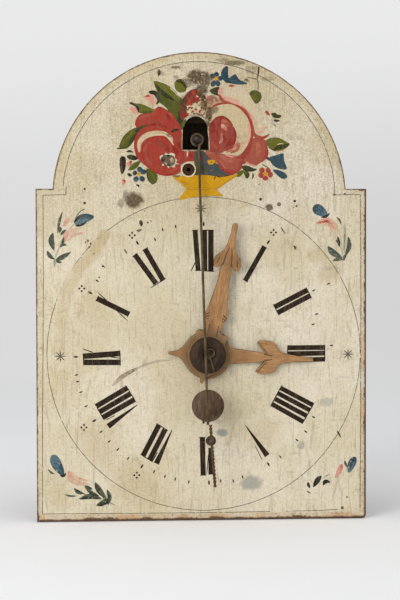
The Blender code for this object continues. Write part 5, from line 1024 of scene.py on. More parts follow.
def brushwork():
    """Old oil colour over the lacquer: two tints worked into each other, worn through to the ground."""
    f, s = Finish("brushwork"), settings().board
    tint, shade = (f.add("ShaderNodeAttribute", {"attribute_name": name}, None, "Color")
                   for name in ("tint", "shade"))
    share, wear = (f.add("ShaderNodeAttribute", {"attribute_name": name}, None, "Fac")
                   for name in ("share", "wear"))
    bristle = f.noise((0.7, 4, 1.5), 3, 0.6, turn=(0, 0.5, 0))
    cloud = f.noise(3.2, 4, 0.6, shift=(1, 0, 9))
    colour = f.mix(f.ramp(share * 0.9 + (cloud - 0.5) * 2.0 + (bristle - 0.5) * 0.8, 0.1, 0.9), tint, shade)
    colour = tinged(f, f.ramp(bristle, 0.40, 0.70) * 0.5, colour, (0.70, 0.66, 0.64))
    colour = tinged(f, f.ramp(bristle, 0.42, 0.28) * 0.5, colour, (1.25, 1.35, 1.4))
    chip = f.noise(1.7, 5, 0.66, shift=(6, 0, 7))
    limit = 0.80 - wear * 0.38
    gone = f.ramp(chip - limit, -0.03, 0.05)
    colour = f.mix(gone, colour, lacquer_ground(f))
    lines = crazing(f)
    colour = lost_paint(f, f.mix(lines * 0.30, colour, s.crack))
    return f.surface(colour, 0.45 + gone * 0.12, 0.5 + bristle * 0.2 - gone * 0.3 - lines * 0.3, 0.08,
                     specular=0.07)


def carved(name, rest, front, cuts, bands):
    """Wood of a hand: grain along it, dirt and painted shade in the cuts and on the edges, and darker round
    the hub from dirt and painted shade.
    """
    f, w = Finish(name), settings().works
    turn = (0, -rest, 0)
    across, up = (f.add("ShaderNodeSeparateXYZ", None, {0: f.grain_space((1, 1, 1), turn)}, n) for n in "XZ")
    fine = f.noise((0.8, 2, 13), 5, 0.62, turn)
    colour = f.mix(f.ramp(fine, 0.34, 0.70), w.hand, [c * 0.60 for c in w.hand])
    grime = f.ramp(f.noise((4, 6, 9), 5, 0.66, turn, (8, 5, 1)), 0.44, 0.68)
    colour = f.mix(grime * 0.55, colour, w.hand_dark)
    for middle, half, power in bands:
        gap = up - middle
        stain = 1 - f.ramp((gap * gap) ** 0.5 + (fine - 0.5) * half, half * 0.3, half)
        colour = f.mix(stain * power, colour, w.hand_dark)
    specks = f.ramp(f.noise((0.8, 2, 2.2), 3, 0.6, turn, (1, 2, 3)), 0.64, 0.72)
    colour = f.mix(specks * 0.6, colour, [c * 0.5 for c in w.hand_dark])
    # Dirt and painted shade: a soft dark halo on the hand round the boss
    hub_dirt_and_shade = 1 - f.ramp((across * across + up * up) ** 0.5 + (fine - 0.5) * 7, 15, 21)
    rubbed = f.mix(f.ramp(f.noise(4, 5, 0.66, shift=(2, 3, 4)), 0.40, 0.60), (0.2, 0.137, 0.07), w.hand_dark)
    colour = f.mix(hub_dirt_and_shade * 0.88, colour, rubbed)
    # Dirt and painted shade: the bevelled edges and the carved cuts darkened
    edge = f.ramp(f.axis("Y") + (grime - 0.5) * 0.3, front + 0.10, front + 0.62)
    cut_dirt_and_shade = None
    mirrored = (across * across) ** 0.5
    for row in cuts:
        line = f.cut(mirrored, up, *row)
        cut_dirt_and_shade = line if cut_dirt_and_shade is None else cut_dirt_and_shade.most(line)
    dark = (edge * 0.85).most(cut_dirt_and_shade * 0.92)
    colour = f.mix(dark, colour, [c * 0.42 for c in w.hand_dark])
    return f.surface(colour, 0.55 + grime * 0.15, 0.8 + fine * 0.2 - cut_dirt_and_shade * 0.6, 0.35, specular=0.12)


def grained(name, light, dark, grain, turn=(0, 0, 0), roughness=0.6, dirt=0.35):
    """Plain wood: long grain, broader rings and a little dirt."""
    f = Finish(name)
    fine = f.noise(grain, 5, 0.62, turn)
    broad = f.noise([g * 5 for g in grain], 3, 0.5, turn, (3, 1, 2))
    colour = f.mix(f.ramp(fine * 0.65 + broad * 0.35, 0.36, 0.64), light, dark)
    grime = f.ramp(f.noise(11, 4, 0.6, shift=(8, 5, 1)), 0.48, 0.72)
    colour = f.mix(grime * dirt, colour, [c * 0.35 for c in dark])
    return f.surface(colour, roughness + grime * 0.12, fine * 0.7 + broad * 0.3, 0.18, specular=0.15)


def fibres(f, light, dark, layout, pith, knots=()):
    """Sawn spruce: growth rings about a pith behind the board, fine fibres along the grain, and knots.

    The layout names the axes along the grain, across it and through the board."""
    along, across, deep = (f.axis(name) for name in layout)
    long, thin = ([far if name == layout[0] else near for name in "XYZ"]
                  for far, near in ((150, 16), (30, 0.55)))
    side, under = across - pith[0], deep - pith[1]
    reach = (side * side + under * under) ** 0.5 + (f.noise(long, 3) - 0.5) * 18
    core = 0.0
    for start, offset, size in knots:
        side, run = (across - start) / size, (along - offset) / (size * 1.5)
        near = (side * side + run * run) ** 0.5
        reach = reach + 5 / (near * near + 0.7)
        core = (1 - f.ramp(near, 0.5, 1.0)).most(core)
    turn = (reach / 3.6).cycle()
    ring = f.ramp(turn, 0.15, 0.88) * (1 - f.ramp(turn, 0.92, 1.0))
    fine = f.noise(thin, 4, 0.6)
    colour = f.mix(ring * 0.75, light, dark)
    colour = tinged(f, f.ramp(fine, 0.42, 0.70) * 0.7, colour, (0.70, 0.66, 0.60))
    return f.mix(core * 0.85, colour, [c * 0.3 for c in dark]) if knots else colour, fine


def case_board(node, layout):
    """One old board of the case: spruce gone brown, grimy along its edges, with a few worm holes."""
    f, w = Finish(node + "_wood"), settings().works
    low, high = (dict(zip("XYZ", corner / MM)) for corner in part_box(node))
    middle = {name: (low[name] + high[name]) / 2 for name in "XYZ"}
    colour, fine = fibres(f, w.case, [c * 0.45 for c in w.case], layout,
                          (middle[layout[1]] + 11, high[layout[2]] + 30), KNOTS.get(node, ()))
    depth = 1000.0
    for name in layout[:2]:
        spot = f.axis(name)
        depth = (spot - low[name]).least(high[name] - spot).least(depth)
    wobble = f.noise(7, 4, 0.62, shift=(1, 4, 3)) - 0.5
    edge = 1 - f.ramp(depth + wobble * 6, 0.2, 4.0)
    colour = f.mix(edge * 0.6, colour, [c * 0.16 for c in w.case])
    grime = f.ramp(f.noise(30, 5, 0.66, shift=(8, 5, 1)), 0.46, 0.70)
    colour = tinged(f, grime * 0.8, colour, (0.62, 0.58, 0.54))
    holes = f.ramp(f.noise(2.6, 0, 0.4, shift=(5, 2, 8)), 0.77, 0.79)
    colour = f.mix(holes * 0.9, colour, [c * 0.05 for c in w.case])
    relief = 0.6 + fine * 0.35 - edge * 0.15 - holes * 0.5
    return f.surface(colour, 0.62 + grime * 0.12, relief, 0.22, specular=0.12)


def tail_wire():
    """Twisted wire, tan at the top and rusty below."""
    f, w = Finish("tail_wire"), settings().works
    high = f.ramp(f.axis("Z"), VERGE_Z - 236, VERGE_Z - 216)
    colour = f.mix(high, w.rust, [c * 0.85 for c in w.wire])
    patch = f.ramp(f.noise(3, 5, 0.62), 0.42, 0.62)
    colour = f.mix(patch * 0.7, colour, [c * 0.4 for c in w.rust])
    return f.surface(colour, 0.6, f.noise(0.9, 3, 0.6), 0.05, metallic=0.2, specular=0.25)


def metal(name, light, dark, rough, size=6.0, metallic=1.0, specular=0.5):
    """Old metal: bright and dull patches, fine pits."""
    f = Finish(name)
    patch = f.ramp(f.noise(size, 5, 0.62), 0.38, 0.66)
    pits = f.noise(0.9, 3, 0.6, shift=(2, 4, 6))
    colour = f.mix(patch, light, dark)
    return f.surface(colour, rough + patch * 0.22, pits, 0.05, metallic=metallic, specular=specular)


FINISHES = {}


def finish_for(name):
    """Materials, each made when it is first asked for."""
    if name not in FINISHES and ":" in name:
        FINISHES[name] = case_board(*name.split(":"))
    if name not in FINISHES:
        w = settings().works
        shade = lambda colour, share: [c * share for c in colour]
        makers = {
            "lacquer": board_lacquer,
            "brushwork": brushwork,
            "hour_wood": lambda: carved("hour_hand_wood", math.radians(93),
                                        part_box("hour_hand")[0].y / MM, HOUR_CUTS, HOUR_BANDS),
            "minute_wood": lambda: carved("minute_hand_wood", math.radians(12.3),
                                          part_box("minute_hand")[0].y / MM, MINUTE_CUTS, MINUTE_BANDS),
            "turned_wood": lambda: grained("turned_wood", w.turned, shade(w.turned, 0.4),
                                           (1.2, 4, 5), dirt=0.3),
            "bob_paint": lambda: grained("bob_paint", w.bob, shade(w.bob, 0.42), (1.6, 3, 7), dirt=0.5,
                                         roughness=0.5),
            "brass": lambda: metal("aged_brass", w.brass, shade(w.brass, 0.42), 0.34),
            "iron": lambda: metal("dark_iron", w.iron, shade(w.iron, 0.35), 0.42),
            "plug_wood": lambda: grained("plug_wood", w.plug, shade(w.plug, 0.4), (1.2, 4, 5), dirt=0.3),
            "bead_wood": lambda: grained("bead_wood", shade(w.bob, 0.8), shade(w.bob, 0.3),
                                           (1.2, 3, 4), dirt=0.4),
            "smoked_upright": lambda: grained("smoked_upright", w.smoked, shade(w.smoked, 0.4),
                                           (1.6, 1.6, 40)),
            "smoked_across": lambda: grained("smoked_across", w.smoked, shade(w.smoked, 0.4), (40, 1.6, 1.6)),
            "dull_brass": lambda: metal("dull_brass", shade(w.brass, 0.22), shade(w.brass, 0.06), 0.6, 3.0),
            "black_iron": lambda: metal("black_iron", shade(w.iron, 0.45), shade(w.iron, 0.12), 0.5, 4.0),
            "rod_wire": lambda: metal("rod_wire", w.wire, shade(w.wire, 0.45), 0.55, 9.0, 0.25, 0.2),
            "tail_wire": tail_wire,
        }
        FINISHES[name] = makers[name]()
    return FINISHES[name]


# Making pieces

def put(name, bm, finish, body, slot, *nodes, smooth=35.0):
    """Turns a bmesh in millimetres into a piece that rides a body and stands for CAD nodes."""
    bmesh.ops.scale(bm, vec=(MM,) * 3, verts=bm.verts)
    mesh = bpy.data.meshes.new(name)
    bm.to_mesh(mesh)
    bm.free()
    for polygon in mesh.polygons:
        polygon.use_smooth = True
    mesh.set_sharp_from_angle(angle=math.radians(smooth))
    piece = bpy.data.objects.new(name, mesh)
    bpy.context.scene.collection.objects.link(piece)
    mesh.materials.append(finish_for(finish))
    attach(piece, body)
    if nodes:
        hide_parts(*nodes)
    return piece


def node_copy(node):
    """A CAD node's mesh in millimetres, with its triangles joined into flat faces."""
    bm = bmesh.new()
    bm.from_mesh(frame["nodes"][node].data)
    bmesh.ops.scale(bm, vec=(1 / MM,) * 3, verts=bm.verts)
    bmesh.ops.remove_doubles(bm, verts=bm.verts, dist=0.002)
    bmesh.ops.dissolve_limit(bm, angle_limit=math.radians(0.6), verts=bm.verts, edges=bm.edges)
    return bm


def ease(bm, width, chosen=None, sharp=30.0, segments=2):
    """Rounds the sharp edges, or those of them that are chosen."""
    edges = [e for e in bm.edges if e.is_manifold and e.calc_face_angle(0) > math.radians(sharp)
             and (chosen is None or chosen(e))]
    bmesh.ops.bevel(bm, geom=edges, offset=width, offset_type="OFFSET", affect="EDGES", segments=segments,
                    profile=0.5, material=-1, clamp_overlap=True)


def turned(profile, segments=64):
    """Spins a closed or axis-to-axis profile of (along, radius) points about the Y axis."""
    bm = bmesh.new()
    verts = [bm.verts.new((radius, along, 0)) for along, radius in profile]
    edges = [bm.edges.new(pair) for pair in zip(verts, verts[1:])]
    bmesh.ops.spin(bm, geom=verts + edges, cent=(0, 0, 0), axis=(0, 1, 0), angle=math.tau, steps=segments,
                   use_merge=True, use_duplicate=False)
    bmesh.ops.remove_doubles(bm, verts=bm.verts, dist=0.001)
    bmesh.ops.recalc_face_normals(bm, faces=bm.faces)
    return bm


def tube(bm, points, radius, sides=12):
    """A round wire along points, closed at both ends."""
    points = [Vector(p) for p in points]
    rows = []
    for k, point in enumerate(points):
        ahead = points[min(k + 1, len(points) - 1)] - points[max(k - 1, 0)]
        turn = ahead.to_track_quat("Z", "Y").to_matrix().to_4x4()
        verts = bmesh.ops.create_circle(bm, cap_ends=k in (0, len(points) - 1), segments=sides, radius=radius,
                                        matrix=Matrix.Translation(point) @ turn)["verts"]
        rows.append(list({e for v in verts for e in v.link_edges}))
    for one, two in zip(rows, rows[1:]):
        bmesh.ops.bridge_loops(bm, edges=one + two)
    bmesh.ops.recalc_face_normals(bm, faces=bm.faces)


def smooth_path(points, steps, closed=False):
    """Points along a soft curve through the given ones."""
    points = [Vector(p) for p in points]
    count = len(points)
    spans = count if closed else count - 1
    made = []
    for k in range(spans * steps + (0 if closed else 1)):
        i = min(k // steps, spans - 1)
        t = k / steps - i
        if closed:
            a, b, c, d = (points[(i + n) % count] for n in (-1, 0, 1, 2))
        else:
            b, c = points[i], points[i + 1]
            a = points[i - 1] if i else b + b - c
            d = points[i + 2] if i + 2 < count else c + c - b
        made.append(0.5 * (2 * b + (c - a) * t + (2 * a - 5 * b + 4 * c - d) * t * t
                           + (3 * b - 3 * c + d - a) * t ** 3))
    return made


def around(middle, radius, count):
    """Points of a circle on the shield's front."""
    angles = (math.tau * k / count for k in range(count))
    return [middle + radius * Vector((math.cos(a), math.sin(a))) for a in angles]


class Brush:
    """Lays strokes of paint on the shield's front as thin closed slips, each over those that it crosses."""

    GROUND = 0.05
    STEP = 0.008
    SHAPES = {
        "leaf": lambda t: math.sin(math.pi * t) ** 0.8,
        "petal": lambda t: math.sin(math.pi * min(max(t, 0.02), 0.98) ** 0.85) ** 0.55,
        "line": lambda t: min(1.0, 0.35 + 5 * t, 0.35 + 5 * (1 - t)),
        "bar": lambda t: 1.0,
    }
    laid = []

    def __init__(self, wear):
        self.bm = bmesh.new()
        layers = self.bm.verts.layers
        self.tint, self.shade = layers.float_color.new("tint"), layers.float_color.new("shade")
        self.share, self.wear = layers.float.new("share"), layers.float.new("wear")
        self.fade = wear

    def level(self, spots):
        """The height of a new stroke: one step over the highest that its box crosses."""
        (x0, z0), (x1, z1) = ([pick(spot[k] for spot in spots) for k in (0, 1)] for pick in (min, max))
        under = [step for a, b, c, d, step in self.laid if a < x1 and c > x0 and b < z1 and d > z0]
        self.laid.append((x0, z0, x1, z1, max(under, default=-1) + 1))
        return FRONT - self.GROUND - self.STEP * self.laid[-1][4]

    def settle(self, verts, spots, shares, tint, shade):
        """Moves flat verts to their spots on the front and gives them their two tints."""
        colours = [(*getattr(settings().paint, name), 1.0) for name in (tint, shade)]
        height = self.level(spots)
        for vert, spot, share in zip(verts, spots, shares):
            vert.co = (spot[0], height, spot[1])
            vert[self.tint], vert[self.shade] = colours
            vert[self.share], vert[self.wear] = share, self.fade
        return height

    def stroke(self, kind, half, tint, shade, points, ends=(1.0, 1.0)):
        """A strip of paint along a path, with the width its kind of stroke has."""
        if len(points) == 2:
            path = [points[0].lerp(points[1], k / 8) for k in range(9)]
        else:
            path = smooth_path(points, 7)
        last = len(path) - 1
        verts = bmesh.ops.create_grid(self.bm, x_segments=4, y_segments=last, size=1)["verts"]
        spots, shares = [], []
        for vert in verts:
            side, t = vert.co.x, (vert.co.y + 1) / 2
            k = round(t * last)
            ahead = (path[min(k + 1, last)] - path[max(k - 1, 0)]).normalized()
            width = half * self.SHAPES[kind](t) * (ends[0] + (ends[1] - ends[0]) * t)
            spots.append(path[k] + Vector((-ahead.y, ahead.x)) * width * side)
            shares.append(0.5 + 0.5 * side if kind == "leaf" else t)
        self.settle(verts, spots, shares, tint, shade)

    def patch(self, tint, shade, points):
        """A filled patch, its rim in the second tint."""
        rim = smooth_path(points, 4, closed=True)
        verts = bmesh.ops.create_circle(self.bm, cap_ends=True, segments=len(rim), radius=1)["verts"]
        verts.sort(key=lambda v: math.atan2(v.co.y, v.co.x) % math.tau)
        height = self.settle(verts, rim, [1.0] * len(verts), tint, shade)
        face = next(f for f in verts[0].link_faces if len(f.verts) == len(rim))
        face.normal_update()
        bmesh.ops.inset_individual(self.bm, faces=[face], thickness=0.5, use_even_offset=False)
        for vert in face.verts:
            vert.co.y = height - self.STEP / 2
            vert[self.share] = 0.0

    def paint(self, rows):
        """Lays measured strokes, layer by layer."""
        for kind, layer, half, tint, shade, spots in sorted(rows, key=lambda row: row[1]):
            points = [Vector(spot) for spot in spots]
            if kind == "blob":
                self.patch(tint, shade, points)
            elif kind == "dot":
                self.patch(tint, shade, around(points[0], half, 8))
            else:
                self.stroke(kind, half, tint, shade, points)

    def lay(self, name):
        """Gives the paint its thickness, down into the board, and makes the piece."""
        bmesh.ops.recalc_face_normals(self.bm, faces=self.bm.faces)
        back = bmesh.ops.extrude_face_region(self.bm, geom=list(self.bm.faces))["geom"]
        for vert in (v for v in back if isinstance(v, bmesh.types.BMVert)):
            vert.co.y = FRONT + self.GROUND
        bmesh.ops.recalc_face_normals(self.bm, faces=self.bm.faces)
        return put(name, self.bm, "brushwork", "case", "painted_board")


def pendulum_frame(leaning=True):
    """From the pendulum's own frame, hanging from the verge, to where it rests, in millimetres."""
    turn = Matrix.Rotation(-PENDULUM_REST, 4, "Y")
    if leaning:
        return Matrix.Translation((VERGE_X, LEAN_Y, VERGE_Z)) @ turn @ Matrix.Rotation(-ROD_LEAN, 4, "X")
    return Matrix.Translation((VERGE_X, 0, VERGE_Z)) @ turn


# Operators

class PieceOperator:
    """What every operator of the clock shares."""

    bl_options = {"REGISTER", "UNDO"}

    def execute(self, context):
        self.build(settings())
        return {"FINISHED"}


class CLOCK_OT_shield(PieceOperator, bpy.types.Operator):
    """The lacquered shield with its edges worn round"""

    bl_idname = "clock.shield"
    bl_label = "Shield Board"

    def build(self, s):
        bm = node_copy("shield_board")
        ease(bm, s.board.corner / MM,
             lambda e: all(v.co.x > BOARD_HIGH.x - 0.01 and v.co.z < BOARD_LOW.z + 0.01 for v in e.verts),
             segments=5)
        ease(bm, s.board.edge / MM, lambda e: all(v.co.y < FRONT + 0.01 or v.co.y > BOARD_HIGH.y - 0.01
                                                  for v in e.verts)
             and abs(e.verts[0].co.y - e.verts[1].co.y) < 0.01
             and all(math.hypot(v.co.x, v.co.z) > AXIS_CLEAR for v in e.verts)
             and all(math.hypot(v.co.x - PLUG_X, v.co.z - PLUG_Z) > PLUG_CLEAR for v in e.verts))
        put("shield", bm, "lacquer", "case", "painted_board", "shield_board")


class CLOCK_OT_dial_lines(PieceOperator, bpy.types.Operator):
    """Dial circle, border line, ticks, stars and dots"""

    bl_idname = "clock.dial_lines"
    bl_label = "Dial Lines"
    LINE = 0.24
    WORN, FAINT, FRESH = 0.55, 1.1, 0.35
    ARCS = ((-38, 291, WORN), (291, 303, FAINT), (303, 314, 0.75), (314, 322, FAINT))
    TICK, DASH = (1.5, 0.5), (1.9, 0.7)
    DIAMOND_REACH, DIAMOND_DOT = 1.8, 0.75
    STAR_REACH, STAR_HALF = 4.3, 0.35

    def ray(self, brush, x, z, reach, half):
        """A short stroke that points at the dial's middle."""
        out = Vector((x - DIAL_X, z - DIAL_Z)).normalized()
        spot = Vector((x, z))
        brush.stroke("leaf", half, "ink", "ink", [spot - out * reach, spot, spot + out * reach])

    def build(self, s):
        brush = Brush(self.WORN)
        for first, last, fade in self.ARCS:
            brush.fade = fade
            arc = [Vector((DIAL_X + DIAL_RADIUS * math.sin(a), DIAL_Z + DIAL_RADIUS * math.cos(a)))
                   for a in (math.radians(first + (last - first) * k / 44) for k in range(45))]
            brush.stroke("bar", self.LINE, "line", "line", arc)
        brush.fade = self.WORN
        for spots in BORDER_LINES:
            brush.stroke("bar", self.LINE, "line", "line", [Vector(spot) for spot in spots])
        arch = [Vector((BORDER_X - BORDER_RADIUS * math.cos(a), BORDER_Z + BORDER_RADIUS * math.sin(a)))
                for a in (math.radians(5 + 170 * k / 40) for k in range(41))]
        brush.stroke("bar", self.LINE, "line", "line", arch)
        brush.fade = self.FRESH
        for x, z in MINUTE_TICKS:
            self.ray(brush, x, z, *self.TICK)
        for x, z in HOUR_DASHES:
            self.ray(brush, x, z, *self.DASH)
        for x, z in DIAMONDS:
            for k in range(4):
                out = Vector((math.cos(k * math.pi / 2), math.sin(k * math.pi / 2)))
                spot = Vector((x, z)) + self.DIAMOND_REACH * out
                brush.patch("ink", "ink", around(spot, self.DIAMOND_DOT, 6))
        for x, z in STARS:
            for k in range(8):
                out = Vector((math.cos(k * math.pi / 4), math.sin(k * math.pi / 4)))
                spot = Vector((x, z))
                ray = [spot, spot + out * 2, spot + out * self.STAR_REACH]
                brush.stroke("leaf", self.STAR_HALF, "ink", "line", ray)
        brush.lay("dial_lines")


class CLOCK_OT_numerals(PieceOperator, bpy.types.Operator):
    """Plain hour numerals in black bars and hairlines"""

    bl_idname = "clock.numerals"
    bl_label = "Numerals"
    SERIF_HALF, SERIF_OUT = 0.36, 0.5

    def build(self, s):
        brush = Brush(0.22)
        for x0, z0, x1, z1, start, end in NUMERAL_BARS:
            brush.stroke("bar", 0.5, "ink", "ink", [Vector((x0, z0)), Vector((x1, z1))], (start, end))
        brush.fade = 0.4
        for first, last in SERIFS:
            one, two = NUMERAL_BARS[first], NUMERAL_BARS[last]
            along = Vector((one[2] - one[0], one[3] - one[1])).normalized()
            side = Vector((-along.y, along.x))
            if last != first and side.dot(Vector((two[0] - one[0], two[1] - one[1]))) < 0:
                side.negate()
            for k in (0, 2):
                start = Vector(one[k:k + 2]) - side * (one[4 + k // 2] / 2 + self.SERIF_OUT)
                end = Vector(two[k:k + 2]) + side * (two[4 + k // 2] / 2 + self.SERIF_OUT)
                brush.stroke("line", self.SERIF_HALF, "ink", "ink", [start, end])
        for x0, z0, x1, z1, width in NUMERAL_HAIRLINES:
            brush.stroke("line", width / 2, "ink", "ink", [Vector((x0, z0)), Vector((x1, z1))])
        brush.lay("numerals")


class CLOCK_OT_bouquet(PieceOperator, bpy.types.Operator):
    """Two roses and small flowers in a yellow bowl"""

    bl_idname = "clock.bouquet"
    bl_label = "Rose Bouquet"

    def build(self, s):
        brush = Brush(0.22)
        brush.paint(BOUQUET)
        brush.lay("rose_bouquet")


class CLOCK_OT_sprays(PieceOperator, bpy.types.Operator):
    """A spray of leaves with a bud in each corner"""

    bl_idname = "clock.sprays"
    bl_label = "Corner Sprays"

    def build(self, s):
        brush = Brush(0.42)
        brush.paint(SPRAYS)
        brush.lay("corner_sprays")


class CLOCK_OT_marks(PieceOperator, bpy.types.Operator):
    """Flaked patches, scratches and the white ring round the plug"""

    bl_idname = "clock.marks"
    bl_label = "Wear Marks"

    def build(self, s):
        brush = Brush(0.4)
        brush.paint(MARKS)
        brush.fade = 0.25
        ring = [Vector((PLUG_X + RING_RADIUS * math.cos(a), PLUG_Z + RING_RADIUS * math.sin(a)))
                for a in (math.tau * k / 16 for k in range(17))]
        brush.stroke("bar", RING_HALF, "white", "white", ring)
        brush.lay("wear_marks")


class CLOCK_OT_hands(PieceOperator, bpy.types.Operator):
    """Carved hands, the turned boss over them and its wire cotter"""

    bl_idname = "clock.hands"
    bl_label = "Hands"

    def build(self, s):
        for node, finish in (("hour_hand", "hour_wood"), ("minute_hand", "minute_wood")):
            bm = node_copy(node)
            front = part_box(node)[0].y / MM
            ease(bm, s.works.hand_edge / MM,
                 lambda e: all(v.co.y < front + 0.01 and math.hypot(v.co.x, v.co.z) > HAND_CLEAR
                               for v in e.verts), 30, 3)
            put("carved_" + node, bm, finish, node, "carved_wood", node)
        low, high = (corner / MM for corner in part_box("hand_boss"))
        back, front, radius, bore = high.y, low.y, high.x, 4.02
        profile = [(back, bore), (back, radius - 0.6), (back - 0.6, radius), (back - 2.2, radius),
                   (back - 3.3, radius - 0.5), (back - 4.2, radius - 1.7), (front, radius - 3.6),
                   (front, 6.4), (front + 0.5, 5.9), (front + 0.9, 4.6), (front + 1.1, bore), (back, bore)]
        put("turned_boss", turned(profile), "turned_wood", "minute_hand", "dark_wood", "hand_boss", smooth=50)
        y = front - COTTER_OUT
        eye = [Vector((COTTER_EYE_X + COTTER_EYE_RADIUS * math.cos(a), y,
                       COTTER_EYE_Z + COTTER_EYE_RADIUS * math.sin(a)))
               for a in (math.radians(205 - 315 * k / 28) for k in range(29))]
        bm = bmesh.new()
        tube(bm, eye + [Vector((x, y, z)) for x, z in COTTER_LEG], COTTER_WIRE, 10)
        put("wire_cotter", bm, "rod_wire", "minute_hand", "iron", "hand_cotter")


class CLOCK_OT_pendulum(PieceOperator, bpy.types.Operator):
    """Wire rod, worn bob, twisted tail and its bead"""

    bl_idname = "clock.pendulum"
    bl_label = "Pendulum"

    def build(self, s):
        works = s.works
        bm = bmesh.new()
        eye = [Vector((EYE_RADIUS * math.cos(a), EYE_Y, EYE_RADIUS * math.sin(a)))
               for a in (math.radians(245 - 310 * k / 30) for k in range(31))]
        lean = Matrix.Translation((0, LEAN_Y, 0)) @ Matrix.Rotation(-ROD_LEAN, 4, "X")
        rod = [Vector(ROD_TOP), Vector(ROD_BEND), lean @ Vector(ROD_FOOT)]
        tube(bm, eye + rod, works.rod / MM, 12)
        bmesh.ops.transform(bm, matrix=pendulum_frame(False), verts=bm.verts)
        put("wire_rod", bm, "rod_wire", "pendulum", "iron", "pendulum_rod", smooth=60)

        half, radius = BOB_HALF, BOB_RADIUS
        face = [(half * (1 - 0.55 * (k / 8) ** 2.4), radius * k / 8 * 0.97) for k in range(9)]
        profile = [*((-y, r) for y, r in face), (-1.2, radius), (1.2, radius), *reversed(face)]
        bm = turned(profile)
        bob = pendulum_frame() @ Matrix.Translation(BOB_PLACE)
        bmesh.ops.transform(bm, matrix=bob, verts=bm.verts)
        put("worn_bob", bm, "bob_paint", "bob", "bob_paint", "pendulum_bob", smooth=40)

        bm = bmesh.new()
        slit = [(-0.2 - 0.05 * k, -half * (1 - 0.55 * (r / radius / 0.97) ** 2.4) - 0.02, r)
                for k, r in enumerate((11.0, 9.8, 8.0, 6.0, 4.0, 2.2))]
        tube(bm, slit, 0.28, 8)
        bmesh.ops.transform(bm, matrix=bob, verts=bm.verts)
        put("bob_slit", bm, "turned_wood", "bob", "bob_paint")

        bm = bmesh.new()
        turns = TAIL_LENGTH / (works.strand_pitch / MM)
        steps = int(turns * 12)
        gap = works.strand / MM * 0.98
        for phase in (0, math.pi):
            path = [Vector((gap * math.cos(phase + math.tau * turns * k / steps),
                            gap * math.sin(phase + math.tau * turns * k / steps), -TAIL_LENGTH * k / steps))
                    for k in range(steps + 1)]
            tube(bm, path, works.strand / MM, 8)
        root = pendulum_frame() @ Matrix.Translation(TAIL_PLACE) @ Matrix.Rotation(-TAIL_LEAN, 4, "Y")
        bmesh.ops.transform(bm, matrix=root, verts=bm.verts)
        put("twisted_tail", bm, "tail_wire", "pendulum", "iron", "pendulum_tail", smooth=60)

        half, radius = BEAD_HALF, BEAD_RADIUS
        rim = [(half, 0.62), (0.75 * half, 0.9), (0.4 * half, 1.0), (-0.4 * half, 1.0), (-0.75 * half, 0.9)]
        profile = [(half, 0), *((y, r * radius) for y, r in rim), (-half, 0.62 * radius), (-half, 1.6),
                   (-half + 0.25, 1.4), (-half + 1.5, 1.3), (-half + 1.5, 0)]
        bm = turned(profile, 40)
        place = root @ Matrix.Translation(BEAD_PLACE) @ Matrix.Rotation(BEAD_TURN, 4, "Z")
        bmesh.ops.transform(bm, matrix=place, verts=bm.verts)
        put("turned_bead", bm, "bead_wood", "bead", "bob_paint", "rating_bead", smooth=40)
        bm = turned([(-half + 0.9, 0), (-half + 0.9, 1.36), (-half + 1.6, 1.36), (-half + 1.6, 0)], 32)
        bmesh.ops.transform(bm, matrix=place, verts=bm.verts)
        put("bead_eye", bm, "black_iron", "bead", "bob_paint")


class CLOCK_OT_case(PieceOperator, bpy.types.Operator):
    """Finishes for the case and the movement, piece by piece"""

    bl_idname = "clock.case"
    bl_label = "Case and Movement"

    def build(self, s):
        record = frame["record"]
        slots = {part["node"]: part["material_slot"] for part in record["subparts"]}
        bodies = {node: body for body, nodes in record["behaviour"]["bodies"].items() for node in nodes}
        for finish, nodes in CARRIED.items():
            for node in nodes:
                bm = node_copy(node)
                name = finish
                if finish in LAYOUTS:
                    ease(bm, s.works.board_edge / MM)
                    name = node + ":" + LAYOUTS[finish]
                put("fine_" + node, bm, name, bodies[node], slots[node], node, smooth=38)


